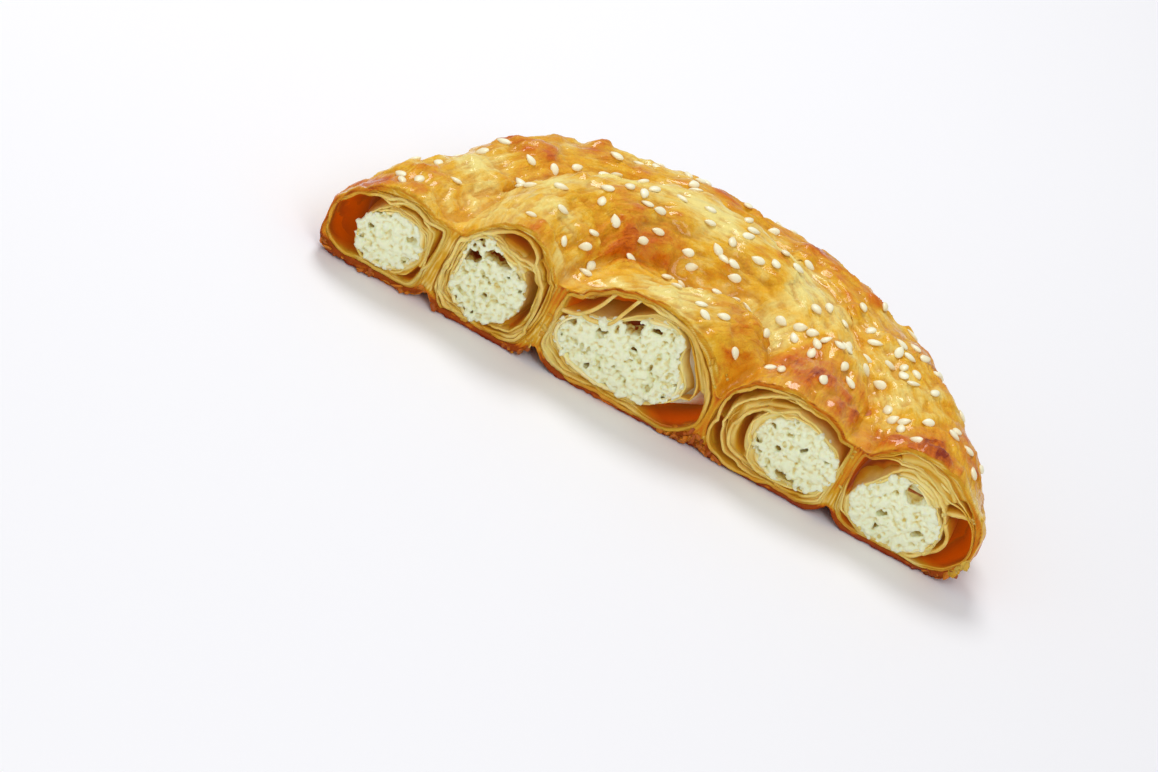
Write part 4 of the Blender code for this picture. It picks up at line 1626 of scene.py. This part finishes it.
def broken_depth(end, spot, heap):
    """How far behind the cut the cheese has broken at a spot, and how far into a hollow that is."""
    x, z = (spot.x - ORIGIN.x) / MM, spot.z / MM

    def wave(height, size, shift=0):
        return height * noise.noise((x / size, z / size, heap + shift))

    ripple = wave(*PIT_RIPPLE, 3)
    pit = 0.0
    for pit_x, pit_z, half_width, half_height, deep in CHEESE_HOLLOWS[end.name]:
        off = ((x - pit_x) / half_width) ** 2 + ((z - pit_z) / half_height) ** 2
        pit = max(pit, deep * math.sqrt(max(0.0, 1 - off + ripple)))
    uneven = wave(*BROKEN_COARSE) + wave(*BROKEN_FINE, 5)
    return (BROKEN_MEAN + uneven + pit) * MM, pit


def cheese_core(end, heap):
    """What lies behind the crumbs, with the same hollows."""
    angles = [math.tau * i / CORE_AROUND for i in range(CORE_AROUND)]
    rings = []
    for step in range(CORE_STEPS + 1):
        share = blend(*CORE_SHARES, step / CORE_STEPS)
        behind = CORE_BEHIND * (1 + share ** 8)
        depths = [broken_depth(end, end.within(angle, share, 0.0), heap)[0] + behind for angle in angles]
        rings.append([end.within(a, share, min(depth, CORE_DEEPEST)) for a, depth in zip(angles, depths)])
    rings.append([end.within(angle, CORE_SHARES[1], PLUG_DEPTH) for angle in angles])
    return tube_through("core", rings)


def cheese_crumbs(end, heap, draw):
    """Hundreds of rough balls, spread over the broken cheese and left out of its pits."""
    clear_selection()
    bpy.ops.mesh.primitive_ico_sphere_add(subdivisions=1, radius=1)
    pattern = bpy.context.object
    ball = corners(pattern)
    faces = np.array([list(face.vertices) for face in pattern.data.polygons])
    bpy.data.objects.remove(pattern)
    points, all_faces, kept = [], [], []
    missing_size, missing_below = CRUMBS_MISSING
    deep_pit, pit_crumbs_from = PIT_CRUMBS
    rough_height, finer, apart = CRUMB_ROUGH
    for _ in range(CRUMB_TRIES):
        angle, reach = draw.uniform(0, math.tau), CRUMB_REACH * math.sqrt(draw.random())
        size = blend(*CRUMB_SIZES, draw.random() ** 2)
        squash = [draw.uniform(*CRUMB_SQUASH) for _ in range(3)]
        proud = draw.uniform(*CRUMB_PROUD)
        spot = end.within(angle, reach, 0.0)
        depth, pit = broken_depth(end, spot, heap)
        small = noise.noise((spot.x / missing_size, spot.z / missing_size, heap + 7))
        gap = CRUMB_SPREAD * (CRUMB_GAP[0] + CRUMB_GAP[1] * size / CRUMB_SIZES[1])
        if small < missing_below or pit > deep_pit and small < pit_crumbs_from:
            continue
        if any((spot - place).length < gap for place in kept):
            continue
        kept.append(spot)
        centre = np.array(end.within(angle, reach, max(CRUMB_FOREMOST, depth + proud)))
        bumps = [noise.noise((x * finer + angle * apart, y * finer, z * finer)) for x, y, z in ball]
        rough = 1 + rough_height * np.array(bumps)
        all_faces.append(faces + len(points) * len(ball))
        points.append(centre + ball * rough[:, None] * size * np.array(squash))
    data = bpy.data.meshes.new("crumbs")
    data.from_pydata(np.concatenate(points).tolist(), [], np.concatenate(all_faces).tolist())
    crumbs = bpy.data.objects.new("crumbs", data)
    bpy.context.scene.collection.objects.link(crumbs)
    return crumbs


def crumb_plug(end, draw):
    """The broken front of the filling: a core and its crumbs, fused into one."""
    heap = draw.uniform(0, NOISE_SEEDS)
    plug = join([cheese_core(end, heap), cheese_crumbs(end, heap, draw)], "plug")
    apply_modifier(plug, "REMESH", mode="VOXEL", voxel_size=sizes().crumb_cell, adaptivity=0.0)
    apply_modifier(plug, "SMOOTH", factor=0.5, iterations=1)
    spots = corners(plug)
    grain = sum(waves(spots, *kind) for kind in CHEESE_GRAIN)
    move_corners(plug, spots + normals(plug) * grain[:, None])
    return plug


def hollowness(piece, rounds):
    """How far each corner lies below its surroundings: above zero in a groove, below it on a crumb."""
    count = len(piece.data.vertices)
    pairs = np.empty(2 * len(piece.data.edges), dtype=np.int64)
    piece.data.edges.foreach_get("vertices", pairs)
    one, other = pairs.reshape(-1, 2).T
    near = np.bincount(one, minlength=count) + np.bincount(other, minlength=count)
    points = corners(piece)
    eased = points.copy()
    for _ in range(rounds):
        total = np.stack([
            np.bincount(one, eased[other, axis], count) + np.bincount(other, eased[one, axis], count)
            for axis in range(3)
        ], axis=1)
        eased = total / near[:, None]
    return ((eased - points) * normals(piece)).sum(axis=1)


# How deep the rope reaches into its plug, how painted shade colours the cheese's pits and the grooves
# between its crumbs, and its draw
ROPE_OVERLAP = 1.5 * MM
PIT_SHADE = ((0.55, 1.4 * MM, 3.4 * MM), (0.45, 3.4 * MM, 5.4 * MM))
CRUMB_GROOVE_SHADE = (0.22, 0.12 * MM, 8)
CHEESE_DRAW = 11


class PASTRY_OT_cheese(bpy.types.Operator):
    """Makes the three ropes of white cheese, with their crumbly broken ends"""

    bl_idname = "pastry.make_cheese"
    bl_label = "Cheese"

    def execute(self, context):
        draw = random.Random(CHEESE_DRAW)
        finish = cheese_finish()
        start = PLUG_DEPTH - ROPE_OVERLAP
        groove_share, groove_depth, groove_rounds = CRUMB_GROOVE_SHADE
        for coil in ROLLS:
            rope = filling_rope(coil, start, start)
            for end in OPEN_ENDS.values():
                if end.coil is coil:
                    combine(rope, crumb_plug(end, draw), "UNION")
            # The pit fact is painted shade: deeper behind the cut, and in the grooves between crumbs.
            depth = corners(rope)[:, 1]
            sunk = sum(share * smooth_step(depth, low, high) for share, low, high in PIT_SHADE)
            grooves = groove_share * hollowness(rope, groove_rounds) / groove_depth
            set_attribute(rope, "pit", sunk + grooves)
            name = "cheese_" + coil.name
            finish_piece(rope, name + "_crumbly", finish, [name])
        return {"FINISHED"}


def cheese_finish():
    tone = colours()
    finish = soft_finish("white_cheese", (1.0, 0.8, 0.45))
    patches = finish.noise(*CHEESE_PATCHES)
    patch_share, speck_share = CHEESE_MIX
    specks = finish.around_zero(finish.noise(*CHEESE_SPECKS), speck_share)
    # Pits and grooves take painted shade from the pit fact.
    value = finish.stored("pit") + finish.around_zero(patches, patch_share) + specks
    tones = (tone.cheese, tone.cheese_pit, tone.cheese_gap_shade)
    finish.feed("Base Color", finish.ramp(value, CHEESE_STOPS, tones))
    finish.feed("Roughness", finish.span(patches, *CHEESE_ROUGHNESS))
    finish.feed("Normal", finish.bump(finish.noise(*CHEESE_PORES), *CHEESE_BUMP))
    return finish.material


# Flakes on the cut: the share of them in each band, its lowest and highest point, and between what
# limits the depth of their colour lies
FLAKE_BANDS = ((0.62, 0.3 * MM, 3.6 * MM, 0.68, 1.0), (0.14, 3.6 * MM, 22 * MM, 0.2, 0.5))
FLAKE_SIZES = (0.35 * MM, 1.25 * MM)
FLAKE_LONG = (1.0, 2.0)
FLAKE_RIM = (0.6, 1.1)
FLAKE_BEND = 0.35
FLAKE_TILT = 0.5
FLAKE_THICKNESS = 0.2 * MM
FLAKE_SHARE = 0.98
FLAKE_CORNERS = 9
FLAKE_DEEPEST = 4.5 * MM
FLAKE_REACH = 81
FLAKE_FROM = -30 * MM
FLAKE_DRAW = 31


def flake(spot, outward, draw):
    """One thin, bent scrap of crust that lies nearly flat against the cut."""
    side = outward.cross(Vector((draw.uniform(-1, 1), 0.1, draw.uniform(-1, 1)))).normalized()
    lift = (outward + side * draw.uniform(-FLAKE_TILT, FLAKE_TILT)).normalized()
    ahead = side.cross(lift).normalized()
    side = lift.cross(ahead)
    size = blend(*FLAKE_SIZES, draw.random() ** 2)
    long, bend = draw.uniform(*FLAKE_LONG), draw.uniform(-FLAKE_BEND, FLAKE_BEND)
    rim = []
    for i in range(FLAKE_CORNERS):
        angle = math.tau * i / FLAKE_CORNERS
        reach = size * draw.uniform(*FLAKE_RIM)
        along, aside = reach * math.cos(angle) * long, reach * math.sin(angle)
        rim.append(spot + ahead * along + side * aside + lift * (bend * along ** 2 / size))
    rings = [rim, [point + lift * FLAKE_THICKNESS for point in rim]]
    lowest = min(point.z for ring in rings for point in ring)
    raised = Vector((0, 0, max(0.0, -lowest)))
    return tube_through("flake", [[point + raised for point in ring] for ring in rings])


class PASTRY_OT_flakes(bpy.types.Operator):
    """Scatters scraps of crust and crumbs over the cut, most of them along the base"""

    bl_idname = "pastry.make_flakes"
    bl_label = "Flakes"

    def execute(self, context):
        draw = random.Random(FLAKE_DRAW)
        skin = bpy.data.objects["baked_skin"]
        tree = BVHTree.FromObject(skin, context.evaluated_depsgraph_get())
        flakes = []
        for share, lowest, highest, palest, deepest in FLAKE_BANDS:
            wanted = len(flakes) + round(share * sizes().flake_count)
            while len(flakes) < wanted:
                x, z = draw.uniform(-FLAKE_REACH, FLAKE_REACH) * MM, draw.uniform(lowest, highest)
                hit, outward, _, _ = tree.ray_cast(Vector((x, FLAKE_FROM, z)) + ORIGIN, Vector((0, 1, 0)))
                if hit is None or hit.y - ORIGIN.y > FLAKE_DEEPEST:
                    continue
                spot = hit - ORIGIN
                if least_share(np.array([spot.x]), np.array([spot.z]))[0] < FLAKE_SHARE:
                    continue
                made = flake(spot, outward, draw)
                set_attribute(made, "warmth", np.full(2 * FLAKE_CORNERS, draw.uniform(palest, deepest)))
                set_attribute(made, "glow", np.zeros(2 * FLAKE_CORNERS))
                flakes.append(made)
        name = "crust_flakes"
        finish_piece(join(flakes, name), name, layer_finish())
        return {"FINISHED"}


# Sesame: how far out the seeds lie, how far apart, on how level a place and how proud they are
SEED_REACH = 76 * MM
SEED_CUT_MARGIN = 4.5 * MM
SEED_GAP = 2.9 * MM
SEED_LEVEL_ENOUGH = 0.35
SEED_PROUD = 0.22 * MM
SEED_FEEL = ((0.9, 0, 0), (-0.9, 0, 0), (0, 0.9, 0), (0, -0.9, 0))

# How much thinner they lie on the left, from where and how quickly
SEED_THIN = 0.30
SEED_THIN_FROM = -0.25
SEED_THIN_RATE = 7

# A seed: how wide it is along its length, how its size and tilt are spread, and where its tip ends
SEED_ALONG = (0, 0.12, 0.3, 0.62, 0.85, 1)
SEED_WIDTHS = (0.35, 0.62, 0.86, 1.06, 1.08, 1.0)
SEED_FLAT = 0.45
SEED_SPREAD = (0.88, 1.1)
SEED_TILT = 0.16
SEED_TIP = 0.3
SEED_DRAWS = (7, 23)

# Places where more seeds lie close together: x and y in millimetres, and how many are tried
SEED_CLUMPS = (
    (-9, 27, 9), (6, 45, 9), (28.6, 24, 12), (46, 34, 10), (-25.5, 52, 5), (-29, 10, 7), (8, 26, 7),
    (57, 8, 5), (36, 30, 6), (-2, 37, 6),
)
SEED_CLUMP_SPREAD = 3.6 * MM
SEED_CLUMP_GAP = 2.5 * MM


def seed_places(skin):
    """Where the seeds lie: drawn over the top, thinner on the left, and then in clumps."""
    draw = random.Random(SEED_DRAWS[0])
    tree = BVHTree.FromObject(skin, bpy.context.evaluated_depsgraph_get())
    down = Vector((0, 0, -1))
    found = []

    def lay(x, y, turn, gap):
        above = Vector((x, y, SEED_REACH))
        hit, normal, _, _ = tree.ray_cast(above, down)
        if hit is None or y < SEED_CUT_MARGIN:
            return
        near = [tree.ray_cast(above + Vector(step) * MM, down)[1] for step in SEED_FEEL]
        normal = sum((way for way in near if way is not None), normal.copy()).normalized()
        if normal.z < SEED_LEVEL_ENOUGH or any((hit - other).length < gap for other, _, _ in found):
            return
        found.append((hit, normal, Vector((math.cos(turn), math.sin(turn), 0))))

    while len(found) < sizes().seed_count:
        x, y, turn = draw.uniform(-1, 1), draw.uniform(0, 1), draw.uniform(0, math.tau)
        keep = draw.random()
        density = blend(SEED_THIN, 1, 1 / (1 + math.exp((SEED_THIN_FROM - x) * SEED_THIN_RATE)))
        if x * x + y * y <= 1 and keep <= density:
            lay(x * SEED_REACH, SEED_CUT_MARGIN + y * SEED_REACH, turn, SEED_GAP)
    for clump_x, clump_y, tries in SEED_CLUMPS:
        for _ in range(tries):
            x, y = draw.gauss(clump_x * MM, SEED_CLUMP_SPREAD), draw.gauss(clump_y * MM, SEED_CLUMP_SPREAD)
            lay(x, y, draw.uniform(0, math.tau), SEED_CLUMP_GAP)
    return found


def seed_pattern():
    """A ball whose corners are kept as the shape of a seed: pointed at its tip and round at its end."""
    clear_selection()
    bpy.ops.mesh.primitive_uv_sphere_add(segments=10, ring_count=7, radius=0.5)
    pattern = bpy.context.object
    shape = corners(pattern)[:, [2, 0, 1]] * np.array((1, -1, 1))
    along = shape[:, 0] + 0.5
    taper = np.interp(along, SEED_ALONG, SEED_WIDTHS)
    shape[:, 1] *= taper
    shape[:, 2] *= blend(SEED_FLAT, 1, taper)
    return pattern, shape, np.clip(1 - along / SEED_TIP, 0, 1)


class PASTRY_OT_sesame(bpy.types.Operator):
    """Lays the sesame seeds on the skin"""

    bl_idname = "pastry.make_sesame"
    bl_label = "Sesame"

    def execute(self, context):
        size = sizes()
        whole = np.array((size.seed_length, size.seed_width, size.seed_height))
        skin = whole_skin()
        draw = random.Random(SEED_DRAWS[1])
        pattern, shape, tip = seed_pattern()
        seeds = []
        for hit, outward, heading in seed_places(skin):
            side = outward.cross(heading).normalized()
            ahead = side.cross(outward).normalized()
            lengths = whole * np.array([draw.uniform(*SEED_SPREAD) for _ in range(3)])
            lift = (outward + side * draw.uniform(-SEED_TILT, SEED_TILT)).normalized()
            axes = np.array((ahead, lift.cross(ahead).normalized(), lift))
            seed = pattern.copy()
            seed.data = pattern.data.copy()
            context.scene.collection.objects.link(seed)
            move_corners(seed, np.array(hit + outward * SEED_PROUD) + (shape * lengths) @ axes)
            set_attribute(seed, "tip", tip)
            set_attribute(seed, "tone", np.full(len(tip), draw.random()))
            seeds.append(seed)
        bpy.data.objects.remove(pattern)
        sesame = join(seeds, "sesame")
        edit_whole(sesame)
        finish_piece(sesame, "sesame_seeds", seed_finish())
        return {"FINISHED"}


def seed_finish():
    tone = colours()
    finish = Finish("sesame", IOR=1.45, Coat_Weight=0.2)
    patches = finish.noise(*SEED_PATCHES)
    tip_share, tone_share, patch_share = SEED_MIX
    value = finish.stored("tip") * tip_share + finish.stored("tone") * tone_share
    value = value + finish.around_zero(patches, patch_share)
    finish.feed("Base Color", finish.ramp(value, SEED_STOPS, (tone.seed, tone.seed_tip)))
    finish.feed("Roughness", finish.span(patches, *SEED_ROUGHNESS))
    finish.feed("Normal", finish.bump(finish.noise(*SEED_GRAIN), *SEED_BUMP))
    return finish.material


# The camera: it looks down on the cut and is rolled, as the half in the photo leans
CAMERA_ELEVATION = 27
CAMERA_TARGET = Vector((-13.6 * MM, 0, 0.8 * MM))
CAMERA_ACROSS = (0.880, 0.475)
CAMERA_LENS = 360
CAMERA_SENSOR = 36
CAMERA_RANGE = (0.01, 10)
VIEW_WIDTH = 256.8 * MM

# Soft lights: azimuth and elevation in degrees, distance and size in metres, strength in watts
LIGHTS = (
    ("overhead", -35, 58, 0.75, 0.30, 2.5),
    ("right_front", 165, 42, 0.8, 0.35, 1.25),
    ("left_front", 215, 25, 1.0, 0.9, 0.8),
)
SKY_COLOUR = (0.97, 0.97, 1.0, 1.0)
SKY_STRENGTH = 0.5
FLOOR_SIZE = 8
FLOOR_CELLS = 8
FLOOR_DEPTH = 0.2 * MM


def aim_camera():
    lift = math.radians(CAMERA_ELEVATION)
    back = Vector((0, -math.cos(lift), math.sin(lift)))
    level_up = Vector((0, math.sin(lift), math.cos(lift)))
    right = (Vector((1, 0, 0)) * CAMERA_ACROSS[0] + level_up * CAMERA_ACROSS[1]).normalized()
    data = bpy.data.cameras.new("camera")
    data.lens, data.sensor_width = CAMERA_LENS, CAMERA_SENSOR
    data.clip_start, data.clip_end = CAMERA_RANGE
    camera = bpy.data.objects.new("camera", data)
    bpy.context.scene.collection.objects.link(camera)
    turn = Matrix((right, back.cross(right), back)).transposed().to_4x4()
    place = CAMERA_TARGET + ORIGIN + back * (VIEW_WIDTH * CAMERA_LENS / CAMERA_SENSOR)
    camera.matrix_world = Matrix.Translation(place) @ turn
    bpy.context.scene.camera = camera


def add_light(name, azimuth, elevation, distance, size, power):
    turn, lift = math.radians(azimuth), math.radians(elevation)
    way = Vector((math.sin(turn) * math.cos(lift), math.cos(turn) * math.cos(lift), math.sin(lift)))
    data = bpy.data.lights.new(name, "AREA")
    data.shape, data.size, data.energy = "DISK", size, power
    light = bpy.data.objects.new(name, data)
    light.location = way * distance
    light.rotation_euler = way.to_track_quat("Z", "Y").to_euler()
    bpy.context.scene.collection.objects.link(light)


class PASTRY_OT_stage(bpy.types.Operator):
    """Makes the pale floor, the soft light and the camera"""

    bl_idname = "pastry.make_stage"
    bl_label = "Stage"

    def execute(self, context):
        aim_camera()
        clear_selection()
        cells = {"x_subdivisions": FLOOR_CELLS, "y_subdivisions": FLOOR_CELLS}
        bpy.ops.mesh.primitive_grid_add(size=FLOOR_SIZE, **cells)
        floor = bpy.context.object
        floor.name = "floor"
        floor.location.z = -FLOOR_DEPTH
        finish = Finish("floor", Roughness=0.6, Base_Color=tuple(colours().floor))
        floor.data.materials.append(finish.material)
        for light in LIGHTS:
            add_light(*light)
        world = bpy.data.worlds.new("world")
        world.use_nodes = True
        sky = world.node_tree.nodes["Background"]
        sky.inputs["Color"].default_value = SKY_COLOUR
        sky.inputs["Strength"].default_value = SKY_STRENGTH
        context.scene.world = world
        context.scene.view_settings.view_transform = "Standard"
        return {"FINISHED"}


class PASTRY_PT_panel(bpy.types.Panel):
    """Lists the steps and sizes in the sidebar"""

    bl_idname = "PASTRY_PT_panel"
    bl_label = "Coiled cheese pastry"
    bl_space_type = "VIEW_3D"
    bl_region_type = "UI"
    bl_category = "Pastry"

    def draw(self, context):
        for step in STEPS:
            self.layout.operator(step.bl_idname)
        for group in (context.scene.pastry_sizes, context.scene.pastry_colours):
            box = self.layout.box()
            for name in group.__annotations__:
                box.prop(group, name)


STEPS = (
    PASTRY_OT_skin, PASTRY_OT_layers, PASTRY_OT_cheese, PASTRY_OT_flakes, PASTRY_OT_sesame, PASTRY_OT_stage,
)
CLASSES = (PastrySizes, PastryColours, *STEPS, PASTRY_PT_panel)


def register():
    for each in CLASSES:
        bpy.utils.register_class(each)
    bpy.types.Scene.pastry_sizes = PointerProperty(type=PastrySizes)
    bpy.types.Scene.pastry_colours = PointerProperty(type=PastryColours)


def unregister():
    del bpy.types.Scene.pastry_colours
    del bpy.types.Scene.pastry_sizes
    for each in reversed(CLASSES):
        bpy.utils.unregister_class(each)


def main():
    register()
    bpy.ops.pastry.make_skin()
    bpy.ops.pastry.make_layers()
    bpy.ops.pastry.make_cheese()
    bpy.ops.pastry.make_flakes()
    bpy.ops.pastry.make_sesame()
    bpy.ops.pastry.make_stage()
    bpy.data.objects.remove(whole_skin())


if __name__ == "__main__":
    main()
